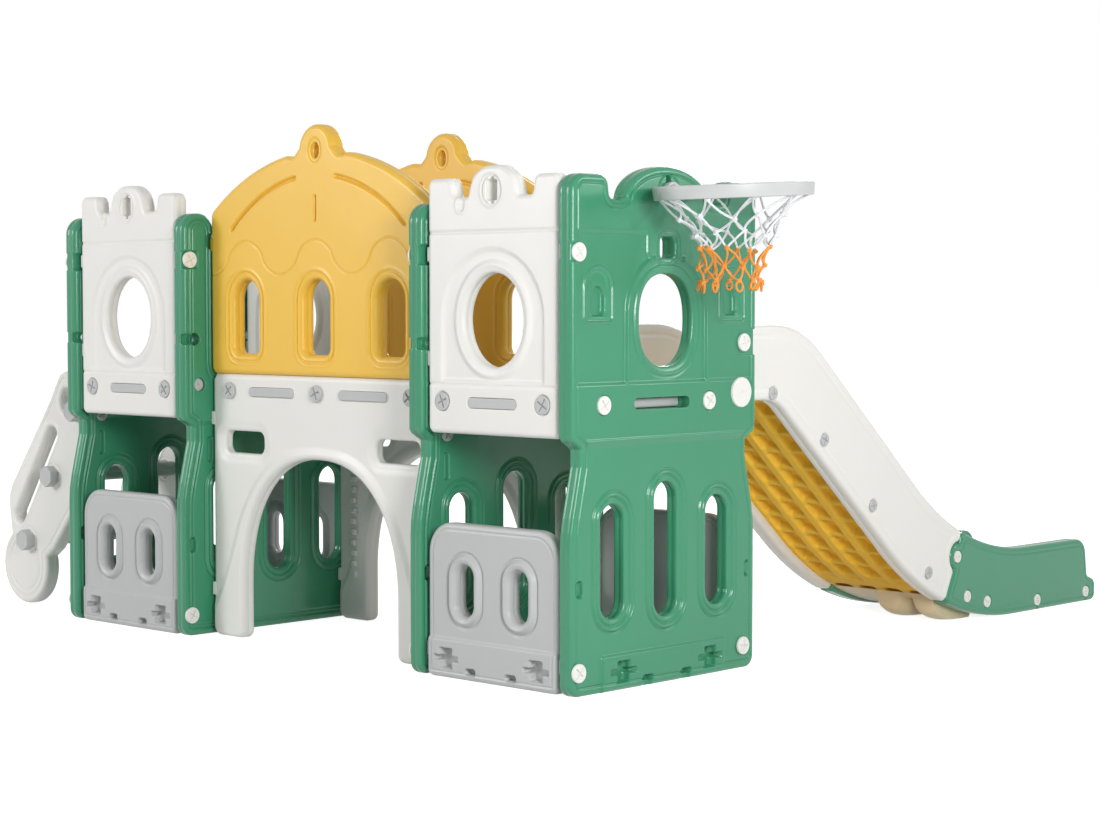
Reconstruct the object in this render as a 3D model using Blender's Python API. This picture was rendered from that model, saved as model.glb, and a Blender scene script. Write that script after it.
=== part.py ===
"""Castle slide: two play towers joined by a crawl bridge, with a ladder, a slide and a hoop.

Layout, in metres: the towers and the bridge stand in a row along X, their fronts face -Y,
the slide leaves the right tower along +Y and the ladder climbs the left tower from -X.
Until the last step x = 0 is the outer face of the hoop panel and y = 0 the front of the towers.
"""
import math

import bmesh
import bpy
from mathutils import Matrix, Vector

# Fits
GAP = 0.0003
SLOT_PLAY = 0.001
PANEL_PLAY = 0.006

# Towers and bridge
TOWER_DEPTH = 0.500
TOWER_INNER = 0.336
SIDE_THICKNESS = 0.036
BRIDGE_SPAN = 0.654
DECK_TOP = 0.520
DECK_THICKNESS = 0.045
TONGUE_THICKNESS = 0.018
TONGUE_RECESS = 0.002
TONGUE_ROOT = 0.010
EDGE = 0.008
CHAMFER = 0.002
FOOT_CORNER = 0.020
PANEL_CORNER = 0.012
CUT_MARGIN = 0.010

# Green side panels
SHOULDER_DROP = 0.080
WAIST_DROP = 0.096
WAIST_LENGTH = 0.030
SIDE_WAIST_INSET = 0.026
SIDE_FLARE = 0.280
SIDE_FLARE_BEND = 0.250
MERLON_RISE = 0.041
MERLON_WIDTH = 0.092
MERLON_CORNER = 0.032
MERLON_SLANT = 0.006
CREST_RISE = 0.061
VALLEY_WIDTH = 0.046
VALLEY_CORNER = 0.010
POST_HEIGHT = 0.333
POST_WIDTH = 0.080
POST_CORNER = 0.036
PASSAGE_CORNER = 0.035
POST_HOLE_DROP = 0.012
POST_HOLE_RADIUS = 0.012
SIDE_SLOT_PITCH = 0.1415
SIDE_SLOT_WIDTH = 0.060
SIDE_SLOT_BOTTOM = 0.126
SIDE_SLOT_TOP = 0.325
MIDDLE_SLOT_BOTTOM = 0.118
MIDDLE_SLOT_TOP = 0.357
WINDOW_RISE = 0.123
SIDE_WINDOW_HALF_WIDTH = 0.073
SIDE_WINDOW_HALF_HEIGHT = 0.082
PEEP_RISE = 0.025
PEEP_HEIGHT = 0.041
PEEP_WIDTH = 0.043
PEEP_CORNER = 0.006
HOOP_VALLEY_RISE = 0.061
HOOP_AXIS_RISE = 0.022
SIDE_TONGUE_WIDTH = 0.143
SIDE_TONGUE_RECESS = 0.012

# White window panels
WINDOW_THICKNESS = 0.034
WINDOW_RECESS = 0.011
WINDOW_SKIRT = 0.080
WINDOW_VALLEY_RISE = 0.134
WINDOW_VALLEY_WIDTH = 0.034
WINDOW_VALLEY_CORNER = 0.008
WINDOW_MERLON_RISE = 0.035
WINDOW_MERLON_WIDTH = 0.060
WINDOW_CREST_LEAN = 0.012
WINDOW_CREST_CORNER = 0.014
WINDOW_CREST_TOP_WIDTH = 0.036
WINDOW_HALF_WIDTH = 0.073
WINDOW_HALF_HEIGHT = 0.083
KEYHOLE_RISE = 0.010
KEYHOLE_WIDTH = 0.024
KEYHOLE_HEIGHT = 0.032
KEYHOLE_CORNER = 0.003
KEYHOLE_WALL = 0.028
WINDOW_TONGUE_WIDTH = 0.118
WINDOW_SCREW_OFFSET = 0.1237
TAB_HEIGHT = 0.027
WINDOW_TAB_RISES = (0.040, 0.227)

# Grey gates
GATE_THICKNESS = 0.030
GATE_RECESS = 0.009
GATE_HEIGHT = 0.280
GATE_CORNER = 0.055
GATE_HOLE_OFFSET = 0.067
GATE_HOLE_WIDTH = 0.044
GATE_HOLE_BOTTOM = 0.114
GATE_HOLE_TOP = 0.207
GATE_TAB_RISE = 0.036

# Bridge
BRIDGE_THICKNESS = 0.036
BRIDGE_RECESS = 0.063
BRIDGE_SEAM_RISE = 0.011
BRIDGE_TONGUE_OFFSET = 0.134
BRIDGE_TONGUE_WIDTH = 0.136
BRIDGE_SCREW_INSET = 0.0565
ARCH_LEG_WIDTH = 0.0945
ARCH_SPRING = 0.120
ARCH_TOP = 0.369
ARCH_POWER = 2.5
ARCH_STEPS = 12
ARCH_TAB_RISES = (0.080, 0.427)
HAND_HOLE_INSET = 0.096
HAND_HOLE_WIDTH = 0.120
HAND_HOLE_HEIGHT = 0.045
HAND_HOLE_DROP = 0.103
HAND_HOLE_CORNER = 0.014
DOME_WINDOW_INSET = 0.1105
DOME_WINDOW_WIDTH = 0.078
DOME_WINDOW_HEIGHT = 0.146
DOME_WINDOW_RISE = 0.041
DOME_WINDOW_CORNER = 0.012
DOME_BROW = 0.136
DOME_RISE = 0.113
DOME_TAB_RISE = 0.257
LOBE_RADIUS = 0.048
LOBE_RISE = 0.049
LOBE_NECK = 0.030
LOBE_HOLE_WIDTH = 0.022
LOBE_HOLE_HEIGHT = 0.028

# Slide, measured along the tower's back
SLIDE_WALL_THICKNESS = 0.040
SLIDE_EDGE = 0.010
SLIDE_HEAD_CORNER = 0.020
SLIDE_OVERLAP = 0.076
SLIDE_ANGLE = math.radians(40.5)
SLIDE_WALL_RISE = 0.112
SLIDE_WALL_DROP = 0.030
SLIDE_TOP_BEND = 0.187
SLIDE_TOP_BEND_RADIUS = 0.230
SLIDE_BOTTOM_BEND = 0.112
SLIDE_BOTTOM_BEND_RADIUS = 0.090
SLIDE_BED_THICKNESS = 0.036
SLIDE_BED_BEND = 0.150
SLIDE_BED_BEND_RADIUS = 0.100
SLIDE_BED_EXIT = 0.022
SLIDE_BED_STOP = 0.030
SLIDE_EXIT_TOP = 0.142
SLIDE_LENGTH = 1.287
SLIDE_JOINT = 0.730
SLIDE_JOINT_LEAN = 0.065
SLIDE_JOINT_TOP = 0.012
SLIDE_JOINT_BOTTOM = 0.018
SLIDE_LOBE_RADIUS = 0.030
SLIDE_LOBE_HEIGHT = 0.142
SLIDE_RUNOUT_RADIUS = 0.700
SLIDE_TOP_RUNOUT_RADIUS = 0.650
NOSE_TOP_INSET = 0.045
NOSE_TOP_CORNER = 0.035
NOSE_STEP = (0.034, 0.058, 0.010)
NOSE_LIP = (0.046, 0.014)
NOSE_TOE = 0.015
SLIDE_FOOT_START = 0.690
SLIDE_FOOT_END = 0.840
SLIDE_FOOT_LENGTH = 0.055
SLIDE_FOOT_HEEL = 0.012
BOLT_RADIUS = 0.0275
BOLT_HEAD = 0.005
BOLT_DROP = 0.010
BOLT_INSET = 0.048
BOLT_ANCHOR = 0.022
BOLT_BORE_DEPTH = 0.024
SCREW_LEAN = 0.001

# Ladder, measured from the left tower's outer face
LADDER_THICKNESS = 0.035
LADDER_INSET = 0.080
LADDER_TOP_RISE = 0.001
LADDER_CROWN = (0.140, 0.004, 0.040)
LADDER_NECK = (0.178, 0.065, 0.060)
LADDER_CALF_REACH = 0.342
LADDER_CALF_HEIGHT = 0.225
LADDER_CALF_BEND = 0.050
LADDER_ANKLE = (0.336, 0.158, 0.012)
LADDER_INSTEP = (0.168, 0.128, 0.020)
LADDER_HEEL = 0.194
LADDER_FOOT_RADIUS = 0.087
LADDER_FOOT_REACH = 0.280
TREAD_COUNT = 3
TREAD_FIRST = (0.262, 0.144)
TREAD_STEP = (-0.094, 0.147)
TREAD_WIDTH = 0.095
TREAD_THICKNESS = 0.032
TREAD_LIFT = 0.004
TREAD_BAR_RADIUS = 0.0165
TREAD_BAR_END = 0.003
GRIP_WIDTH = 0.030
GRIP_START = (0.298, 0.198)
GRIP_END = (0.173, 0.382)
TOP_GRIP_RADIUS = 0.020
TOP_GRIP_LENGTH = 0.028
TOP_GRIP_PLACE = (0.115, 0.062)

# Hoop
HOOP_RADIUS = 0.140
HOOP_BAND = 0.016
HOOP_HEIGHT = 0.024
HOOP_DROP = 0.021
HOOP_EDGE = 0.003
HOOP_STANDOFF = 0.005
HOOP_FLANGE_RADIUS = 0.020
HOOP_FLANGE_LENGTH = 0.012
LOCK_RADIUS = 0.0100
LOCK_RUNNING_FIT = 0.0009
LOCK_LUG_LENGTH = 0.046
LOCK_LUG_HEIGHT = 0.009
LOCK_LUG_THICKNESS = 0.008
LOCK_PLAY = 0.002
NET_WALL = 0.003
NET_BULGE_RADIUS = 0.094
NET_WAIST_RADIUS = 0.070
NET_WAIST_DROP = 0.084
NET_BOTTOM_RADIUS = 0.063
NET_BOTTOM_DROP = 0.080

# Screws
SCREW_RADIUS = 0.0165
SCREW_HEAD = 0.005
SMALL_SCREW_RADIUS = 0.0125
SCREW_SIDES = 10
SIDE_SCREW_INSET = 0.018
SIDE_SCREW_LOW = 0.042
SIDE_SCREW_RISE = 0.2395
SIDE_DECK_SCREWS = (-0.1535, 0.1295)
SLIDE_SCREW_INSET = 0.036
SLIDE_SCREW_RISE = 0.091
SLIDE_SCREW_RUNS = (0.098, 0.261, 0.423, 0.620)

# Places that follow from the sizes above
MIDDLE_Y = TOWER_DEPTH / 2
TOWER_PITCH = TOWER_INNER + 2 * SIDE_THICKNESS + BRIDGE_SPAN
RIGHT_TOWER_X = -SIDE_THICKNESS - TOWER_INNER / 2
LEFT_TOWER_X = RIGHT_TOWER_X - TOWER_PITCH
BRIDGE_X = RIGHT_TOWER_X - TOWER_PITCH / 2
LADDER_X = LEFT_TOWER_X - TOWER_INNER / 2 - SIDE_THICKNESS
DECK_MIDDLE = DECK_TOP - DECK_THICKNESS / 2
WINDOW_BACK = WINDOW_RECESS + WINDOW_THICKNESS
SLIDE_HEAD = TOWER_DEPTH - SLIDE_OVERLAP
RIGHT_DECK_BACK = SLIDE_HEAD - GAP
RIGHT_DECK_MIDDLE = (WINDOW_BACK + GAP + RIGHT_DECK_BACK) / 2
SIDE_WAIST = DECK_TOP - WAIST_DROP
SIDE_SHOULDER = DECK_TOP - SHOULDER_DROP
WINDOW_HEIGHT = DECK_TOP + WINDOW_RISE
PEEP_BOTTOM = WINDOW_HEIGHT + SIDE_WINDOW_HALF_HEIGHT + PEEP_RISE
PEEP_TOP = PEEP_BOTTOM + PEEP_HEIGHT
HOOP_PANEL_VALLEY = PEEP_TOP + HOOP_VALLEY_RISE
HOOP_AXIS_HEIGHT = HOOP_PANEL_VALLEY + HOOP_AXIS_RISE
WINDOW_VALLEY = WINDOW_HEIGHT + WINDOW_HALF_HEIGHT + WINDOW_VALLEY_RISE
KEYHOLE_MIDDLE = WINDOW_VALLEY + KEYHOLE_RISE
WINDOW_CREST = KEYHOLE_MIDDLE + KEYHOLE_HEIGHT / 2 + KEYHOLE_WALL
BRIDGE_SEAM = DECK_TOP + BRIDGE_SEAM_RISE
BRIDGE_HALF = BRIDGE_SPAN / 2 - PANEL_PLAY
ARCH_HALF_WIDTH = BRIDGE_HALF - ARCH_LEG_WIDTH
DOME_WINDOW_BOTTOM = BRIDGE_SEAM + DOME_WINDOW_RISE
DOME_WINDOW_TOP = DOME_WINDOW_BOTTOM + DOME_WINDOW_HEIGHT
DOME_SHOULDER = DOME_WINDOW_TOP + DOME_BROW
DOME_TOP = DOME_SHOULDER + DOME_RISE
SLIDE_WALL_TOP = DECK_TOP + SLIDE_WALL_RISE
SLIDE_WALL_BOTTOM = DECK_TOP - SLIDE_WALL_DROP
BOLT_HEIGHT = DECK_TOP - BOLT_DROP
BOLT_BORE = LOCK_RADIUS + GAP

FACING_X = (math.pi / 2, 0, math.pi / 2)
FACING_Y = (math.pi / 2, 0, 0)

for old in list(bpy.data.objects):
    bpy.data.objects.remove(old, do_unlink=True)

parts = bpy.data.collections.new("castle_slide")
cutters = bpy.data.collections.new("cutters")
bpy.context.scene.collection.children.link(parts)
bpy.context.scene.collection.children.link(cutters)

root = bpy.data.objects.new("castle_slide_origin", None)
parts.objects.link(root)
hoop_axis = bpy.data.objects.new("hoop_axis", None)
hoop_axis.location = (0, MIDDLE_Y, HOOP_AXIS_HEIGHT)
hoop_axis.parent = root
parts.objects.link(hoop_axis)


def plastic(name, colour, roughness=0.45, metallic=0.0):
    material = bpy.data.materials.new(name)
    material.use_nodes = True
    shader = material.node_tree.nodes["Principled BSDF"]
    shader.inputs["Base Color"].default_value = (*colour, 1)
    shader.inputs["Roughness"].default_value = roughness
    shader.inputs["Metallic"].default_value = metallic
    return material


GREEN = plastic("green_plastic", (0.11, 0.37, 0.23))
WHITE = plastic("white_plastic", (0.77, 0.77, 0.74))
YELLOW = plastic("yellow_plastic", (0.78, 0.51, 0.10))
GREY = plastic("grey_plastic", (0.47, 0.48, 0.48))
HOOP_GREY = plastic("hoop_plastic", (0.61, 0.62, 0.61))
BEIGE = plastic("beige_plastic", (0.76, 0.66, 0.47))
NET_WHITE = plastic("white_cord", (0.85, 0.86, 0.88), 0.8)
NET_ORANGE = plastic("orange_cord", (0.95, 0.36, 0.03), 0.8)


# Outline helpers: an outline is a list of (across, up) points

def arc(centre, radii, start, end, steps):
    """Points of an ellipse from one angle to the other, in degrees."""
    points = []
    for i in range(steps + 1):
        angle = math.radians(start + (end - start) * i / steps)
        points.append((centre[0] + radii[0] * math.cos(angle), centre[1] + radii[1] * math.sin(angle)))
    return points


def rounded(corners, closed=True, step=math.radians(30)):
    """Outline through (across, up, radius) corners, each rounded by its radius."""
    points = []
    count = len(corners)
    for i, (x, z, radius) in enumerate(corners):
        here = Vector((x, z))
        if radius == 0 or (not closed and i in (0, count - 1)):
            points.append((x, z))
            continue
        before = (Vector(corners[i - 1][:2]) - here).normalized()
        after = (Vector(corners[(i + 1) % count][:2]) - here).normalized()
        half = before.angle(after) / 2
        reach = radius / math.tan(half)
        centre = here + (before + after).normalized() * radius / math.sin(half)
        first = here + before * reach - centre
        turn = math.pi - 2 * half
        side = 1 if before.x * after.y - before.y * after.x < 0 else -1
        pieces = max(1, math.ceil(turn / step))
        for k in range(pieces + 1):
            angle = side * turn * k / pieces
            spoke = Matrix.Rotation(angle, 2) @ first
            points.append(tuple(centre + spoke))
    return points


def mirrored(half, middle=()):
    """Closed corner list from the corners at across > 0, listed upwards, and those in the middle."""
    return half + list(middle) + [(-x, z, radius) for x, z, radius in reversed(half)]


def stadium(centre, width, bottom, top, steps=4):
    """Upright slot with round ends."""
    radius = width / 2
    upper = arc((centre, top - radius), (radius, radius), 0, 180, steps)
    lower = arc((centre, bottom + radius), (radius, radius), 180, 360, steps)
    return upper + lower


def box_outline(centre, width, bottom, top, radius):
    left, right = centre - width / 2, centre + width / 2
    return rounded([(left, bottom, radius), (right, bottom, radius),
                    (right, top, radius), (left, top, radius)], step=math.radians(45))


def offset_path(path, distance):
    """Path moved sideways to its left by a distance."""
    moved = []
    for i, point in enumerate(path):
        ahead = Vector(path[min(i + 1, len(path) - 1)])
        behind = Vector(path[max(i - 1, 0)])
        along = (ahead - behind).normalized()
        moved.append((point[0] - along.y * distance, point[1] + along.x * distance))
    return moved


def between(path, start, end):
    """The stretch of a path from one across value to another."""
    stretch = [height_on(path, start)]
    stretch += [point for point in path if start < point[0] < end]
    stretch.append(height_on(path, end))
    return stretch


def height_on(path, across):
    for (x0, z0), (x1, z1) in zip(path, path[1:]):
        if x0 <= across <= x1:
            return (across, z0 + (z1 - z0) * (across - x0) / (x1 - x0))
    return (across, path[0][1] if across < path[0][0] else path[-1][1])


# Object helpers

def add_part(name, mesh, material, location=(0, 0, 0), rotation=(0, 0, 0), parent=root):
    part = bpy.data.objects.new(name, mesh)
    part.location = location
    part.rotation_euler = rotation
    part.parent = parent
    mesh.materials.clear()
    mesh.materials.append(material)
    parts.objects.link(part)
    return part


def slab(name, outlines, thickness, edge=EDGE):
    """Mesh of a flat outline with holes, with its thickness across local Z."""
    curve = bpy.data.curves.new(name, "CURVE")
    curve.dimensions = "2D"
    curve.fill_mode = "BOTH"
    curve.extrude = thickness / 2 - edge
    curve.bevel_depth = edge
    curve.bevel_resolution = 0
    curve.offset = -edge
    for outline in outlines:
        spline = curve.splines.new("POLY")
        spline.points.add(len(outline) - 1)
        for point, (x, z) in zip(spline.points, outline):
            point.co = (x, z, 0, 1)
        spline.use_cyclic_u = True
    drawing = bpy.data.objects.new(name, curve)
    cutters.objects.link(drawing)
    depsgraph = bpy.context.evaluated_depsgraph_get()
    mesh = bpy.data.meshes.new_from_object(drawing.evaluated_get(depsgraph), depsgraph=depsgraph)
    bm = bmesh.new()
    bm.from_mesh(mesh)
    bmesh.ops.remove_doubles(bm, verts=bm.verts, dist=0.00005)
    bm.to_mesh(mesh)
    bm.free()
    bpy.data.objects.remove(drawing)
    bpy.data.curves.remove(curve)
    return mesh


def add_box(bm, low, high):
    size = [b - a for a, b in zip(low, high)]
    centre = [(a + b) / 2 for a, b in zip(low, high)]
    matrix = Matrix.Translation(centre) @ Matrix.Diagonal((*size, 1))
    bmesh.ops.create_cube(bm, size=1, matrix=matrix)


def boxes_mesh(name, boxes):
    mesh = bpy.data.meshes.new(name)
    bm = bmesh.new()
    for low, high in boxes:
        add_box(bm, low, high)
    bm.to_mesh(mesh)
    bm.free()
    return mesh


def combine(part, operation, mesh, location=(0, 0, 0), rotation=(0, 0, 0)):
    """Cuts from the part, or joins to it, the bodies of a mesh."""
    tool = bpy.data.objects.new(f"{part.name}_{operation.lower()}", mesh)
    tool.location = location
    tool.rotation_euler = rotation
    tool.parent = part.parent
    tool.hide_render = True
    tool.display_type = "WIRE"
    cutters.objects.link(tool)
    modifier = part.modifiers.new(operation.title(), "BOOLEAN")
    modifier.operation = operation
    modifier.solver = "EXACT"
    modifier.object = tool


def cylinders_mesh(name, places, radius, length, sides, lean=0.0):
    """Short round bodies that start at each (point, direction) and run along the direction."""
    mesh = bpy.data.meshes.new(name)
    bm = bmesh.new()
    for point, direction in places:
        along = Vector(direction)
        turn = along.to_track_quat("Z", "Y").to_matrix().to_4x4()
        middle = Vector(point) + along * length / 2
        bmesh.ops.create_cone(bm, cap_ends=True, segments=sides, radius1=radius, radius2=radius - lean,
                              depth=length, matrix=Matrix.Translation(middle) @ turn)
    bm.to_mesh(mesh)
    bm.free()
    return mesh


def screws(name, places, material, radius=SCREW_RADIUS):
    """Equal screws whose heads sit on a face, each at a (point, outward direction)."""
    head = [((0, 0, GAP), (0, 0, 1))]
    mesh = cylinders_mesh(name, head, radius, SCREW_HEAD, SCREW_SIDES, lean=SCREW_LEAN)
    for i, (point, out) in enumerate(places):
        turn = Vector(out).to_track_quat("Z", "Y").to_euler()
        add_part(f"{name}_{i + 1}", mesh, material, point, turn)


# Green side panels

def side_lower():
    """Corners of a side panel's front half from the floor up to the shoulder."""
    half = TOWER_DEPTH / 2
    waist = half - SIDE_WAIST_INSET
    return [(half, 0, FOOT_CORNER), (half, SIDE_FLARE, SIDE_FLARE_BEND),
            (waist, SIDE_WAIST - WAIST_LENGTH, 0), (waist, SIDE_WAIST, 0),
            (half, SIDE_SHOULDER, PANEL_CORNER)]


def side_slots():
    slots = [stadium(0, SIDE_SLOT_WIDTH, MIDDLE_SLOT_BOTTOM, MIDDLE_SLOT_TOP)]
    for side in (-1, 1):
        slots.append(stadium(side * SIDE_SLOT_PITCH, SIDE_SLOT_WIDTH, SIDE_SLOT_BOTTOM, SIDE_SLOT_TOP))
    return slots


def hoop_panel():
    """Solid side of the right tower, with a merlon at each corner and a crest that holds the hoop."""
    half = TOWER_DEPTH / 2
    inner = half - MERLON_WIDTH
    merlon = HOOP_PANEL_VALLEY + MERLON_RISE
    corners = side_lower() + [(half, merlon, MERLON_CORNER), (inner, merlon, FOOT_CORNER),
                              (inner - MERLON_SLANT, HOOP_PANEL_VALLEY, VALLEY_CORNER)]
    crest = [(x, z, 0) for x, z in
             arc((0, HOOP_PANEL_VALLEY), (inner - VALLEY_WIDTH, CREST_RISE), 0, 90, 6)]
    outline = rounded(mirrored(corners + crest[:-1], crest[-1:]))
    window = arc((0, WINDOW_HEIGHT), (SIDE_WINDOW_HALF_WIDTH, SIDE_WINDOW_HALF_HEIGHT), 0, 337.5, 15)
    peep = box_outline(0, PEEP_WIDTH, PEEP_BOTTOM, PEEP_TOP, PEEP_CORNER)
    mesh = slab("panel_hoop_side", [outline, window, peep] + side_slots(), SIDE_THICKNESS)
    part = add_part("panel_hoop_side", mesh, GREEN, (-SIDE_THICKNESS / 2, MIDDLE_Y, 0), FACING_X)
    reach = LOCK_LUG_LENGTH / 2 + LOCK_PLAY
    notch = LOCK_LUG_HEIGHT / 2 + LOCK_PLAY
    depth = SIDE_THICKNESS + 2 * CUT_MARGIN
    near, far = CUT_MARGIN, -SIDE_THICKNESS - CUT_MARGIN
    bore = cylinders_mesh("keyhole", [((near, MIDDLE_Y, HOOP_AXIS_HEIGHT), (-1, 0, 0))],
                          LOCK_RADIUS + LOCK_RUNNING_FIT, depth, 16)
    combine(part, "DIFFERENCE", bore)
    slot_boxes = [((far, MIDDLE_Y - notch, HOOP_AXIS_HEIGHT - reach),
                   (near, MIDDLE_Y + notch, HOOP_AXIS_HEIGHT + reach)),
                  ((far, RIGHT_DECK_MIDDLE - SIDE_TONGUE_WIDTH / 2 - SLOT_PLAY,
                    DECK_MIDDLE - TONGUE_THICKNESS / 2 - SLOT_PLAY),
                   (near, RIGHT_DECK_MIDDLE + SIDE_TONGUE_WIDTH / 2 + SLOT_PLAY,
                    DECK_MIDDLE + TONGUE_THICKNESS / 2 + SLOT_PLAY))]
    combine(part, "DIFFERENCE", boxes_mesh("keyhole_notch_and_slot", slot_boxes))
    bolt = [((near, TOWER_DEPTH - BOLT_INSET, BOLT_HEIGHT), (-1, 0, 0))]
    combine(part, "DIFFERENCE", cylinders_mesh("bolt_hole", bolt, BOLT_BORE, depth, 12))
    places = [(SIDE_SCREW_INSET, SIDE_SCREW_LOW), (TOWER_DEPTH - SLIDE_SCREW_INSET, SIDE_SCREW_LOW),
              (SIDE_SCREW_INSET, DECK_TOP + SIDE_SCREW_RISE),
              (TOWER_DEPTH - SLIDE_SCREW_INSET, BOLT_HEIGHT + SLIDE_SCREW_RISE)]
    places += [(RIGHT_DECK_MIDDLE + offset, DECK_MIDDLE) for offset in SIDE_DECK_SCREWS]
    screws("screw_hoop_side", [((0, y, z), (1, 0, 0)) for y, z in places], WHITE)


def passage_panel(name, centre_x, bolt=False):
    """Side panel whose upper part is two posts with a way through above the deck."""
    half = TOWER_DEPTH / 2
    inner = half - POST_WIDTH
    post_top = DECK_TOP + POST_HEIGHT
    corners = side_lower() + [(half, post_top, POST_CORNER), (inner, post_top, POST_CORNER),
                              (inner, DECK_TOP, PASSAGE_CORNER)]
    outline = rounded(mirrored(corners))
    mesh = slab(name, [outline] + side_slots(), SIDE_THICKNESS)
    part = add_part(name, mesh, GREEN, (centre_x, MIDDLE_Y, 0), FACING_X)
    start = centre_x - SIDE_THICKNESS / 2 - CUT_MARGIN
    depth = SIDE_THICKNESS + 2 * CUT_MARGIN
    height = DECK_TOP - POST_HOLE_DROP
    holes = [((start, POST_WIDTH / 2, height), (1, 0, 0))]
    if not bolt:
        holes.append(((start, TOWER_DEPTH - POST_WIDTH / 2, height), (1, 0, 0)))
    combine(part, "DIFFERENCE", cylinders_mesh(f"{name}_post_holes", holes, POST_HOLE_RADIUS, depth, 12))
    if bolt:
        place = [((start, TOWER_DEPTH - BOLT_INSET, BOLT_HEIGHT), (1, 0, 0))]
        combine(part, "DIFFERENCE", cylinders_mesh("bolt_hole", place, BOLT_BORE, depth, 12))


def side_panels():
    hoop_panel()
    side_centre = TOWER_INNER / 2 + SIDE_THICKNESS / 2
    passage_panel("panel_right_inner", RIGHT_TOWER_X - side_centre, bolt=True)
    passage_panel("panel_left_inner", LEFT_TOWER_X + side_centre)
    passage_panel("panel_left_outer", LEFT_TOWER_X - side_centre)


# White window panels and grey gates

def with_tabs(corners, half, bottoms):
    """Side corners of a panel with small tabs that reach the neighbouring panels."""
    side = []
    reach = PANEL_PLAY - GAP
    for bottom in bottoms:
        top = bottom + TAB_HEIGHT
        side += [(half, bottom, 0), (half + reach, bottom + CHAMFER, 0),
                 (half + reach, top - CHAMFER, 0), (half, top, 0)]
    return corners[:1] + side + corners[1:]


def window_panel(name, centre_x, front):
    half = TOWER_INNER / 2 - PANEL_PLAY
    inner = half - WINDOW_MERLON_WIDTH
    merlon = WINDOW_VALLEY + WINDOW_MERLON_RISE
    crest_half = inner - MERLON_SLANT - WINDOW_VALLEY_WIDTH
    crest = [(crest_half, WINDOW_VALLEY, MERLON_SLANT),
             (crest_half - WINDOW_CREST_LEAN, WINDOW_CREST - WINDOW_CREST_CORNER, WINDOW_CREST_CORNER),
             (WINDOW_CREST_TOP_WIDTH / 2, WINDOW_CREST, VALLEY_CORNER)]
    corners = [(half, DECK_TOP - WINDOW_SKIRT, PANEL_CORNER), (half, merlon, PANEL_CORNER),
               (inner, merlon, VALLEY_CORNER), (inner - MERLON_SLANT, WINDOW_VALLEY, WINDOW_VALLEY_CORNER)]
    corners = with_tabs(corners, half, [DECK_TOP + rise for rise in WINDOW_TAB_RISES])
    outline = rounded(mirrored(corners + crest))
    window = arc((0, WINDOW_HEIGHT), (WINDOW_HALF_WIDTH, WINDOW_HALF_HEIGHT), 0, 337.5, 15)
    keyhole = box_outline(0, KEYHOLE_WIDTH, KEYHOLE_MIDDLE - KEYHOLE_HEIGHT / 2,
                          KEYHOLE_MIDDLE + KEYHOLE_HEIGHT / 2, KEYHOLE_CORNER)
    middle = WINDOW_RECESS + WINDOW_THICKNESS / 2
    y = middle if front else TOWER_DEPTH - middle
    out = -1 if front else 1
    mesh = slab(name, [outline, window, keyhole], WINDOW_THICKNESS)
    part = add_part(name, mesh, WHITE, (centre_x, y, 0), FACING_Y)
    slot = tongue_box(centre_x, WINDOW_TONGUE_WIDTH, y - WINDOW_THICKNESS, y + WINDOW_THICKNESS, SLOT_PLAY)
    combine(part, "DIFFERENCE", boxes_mesh(f"{name}_slot", [slot]))
    face = y + out * WINDOW_THICKNESS / 2
    places = [((centre_x + side * WINDOW_SCREW_OFFSET, face, DECK_MIDDLE), (0, out, 0))
              for side in (-1, 1)]
    screws(name.replace("window", "screw_window"), places, GREY)


def tongue_box(centre_x, width, y_low, y_high, play=0.0):
    """Box of a tongue that runs along Y, or of its slot where there is play."""
    return ((centre_x - width / 2 - play, y_low, DECK_MIDDLE - TONGUE_THICKNESS / 2 - play),
            (centre_x + width / 2 + play, y_high, DECK_MIDDLE + TONGUE_THICKNESS / 2 + play))


def gate(name, centre_x, front):
    half = TOWER_INNER / 2 - PANEL_PLAY
    corners = [(half, 0, PANEL_CORNER), (half, GATE_HEIGHT, GATE_CORNER)]
    corners = with_tabs(corners, half, [GATE_TAB_RISE])
    holes = [stadium(side * GATE_HOLE_OFFSET, GATE_HOLE_WIDTH, GATE_HOLE_BOTTOM, GATE_HOLE_TOP)
             for side in (-1, 1)]
    middle = GATE_RECESS + GATE_THICKNESS / 2
    mesh = slab(name, [rounded(mirrored(corners))] + holes, GATE_THICKNESS)
    add_part(name, mesh, GREY, (centre_x, middle if front else TOWER_DEPTH - middle, 0), FACING_Y)


def window_panels_and_gates():
    window_panel("window_right_front", RIGHT_TOWER_X, True)
    window_panel("window_left_front", LEFT_TOWER_X, True)
    window_panel("window_left_back", LEFT_TOWER_X, False)
    for tower, centre_x in (("right", RIGHT_TOWER_X), ("left", LEFT_TOWER_X)):
        gate(f"gate_{tower}_front", centre_x, True)
        gate(f"gate_{tower}_back", centre_x, False)


# Decks

def deck(name, low_x, high_x, low_y, high_y, tongues):
    low = (low_x + GAP, low_y, DECK_TOP - DECK_THICKNESS)
    high = (high_x - GAP, high_y, DECK_TOP)
    part = add_part(name, boxes_mesh(name, [(low, high)]), GREY)
    combine(part, "UNION", boxes_mesh(f"{name}_tongues", tongues))


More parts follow.
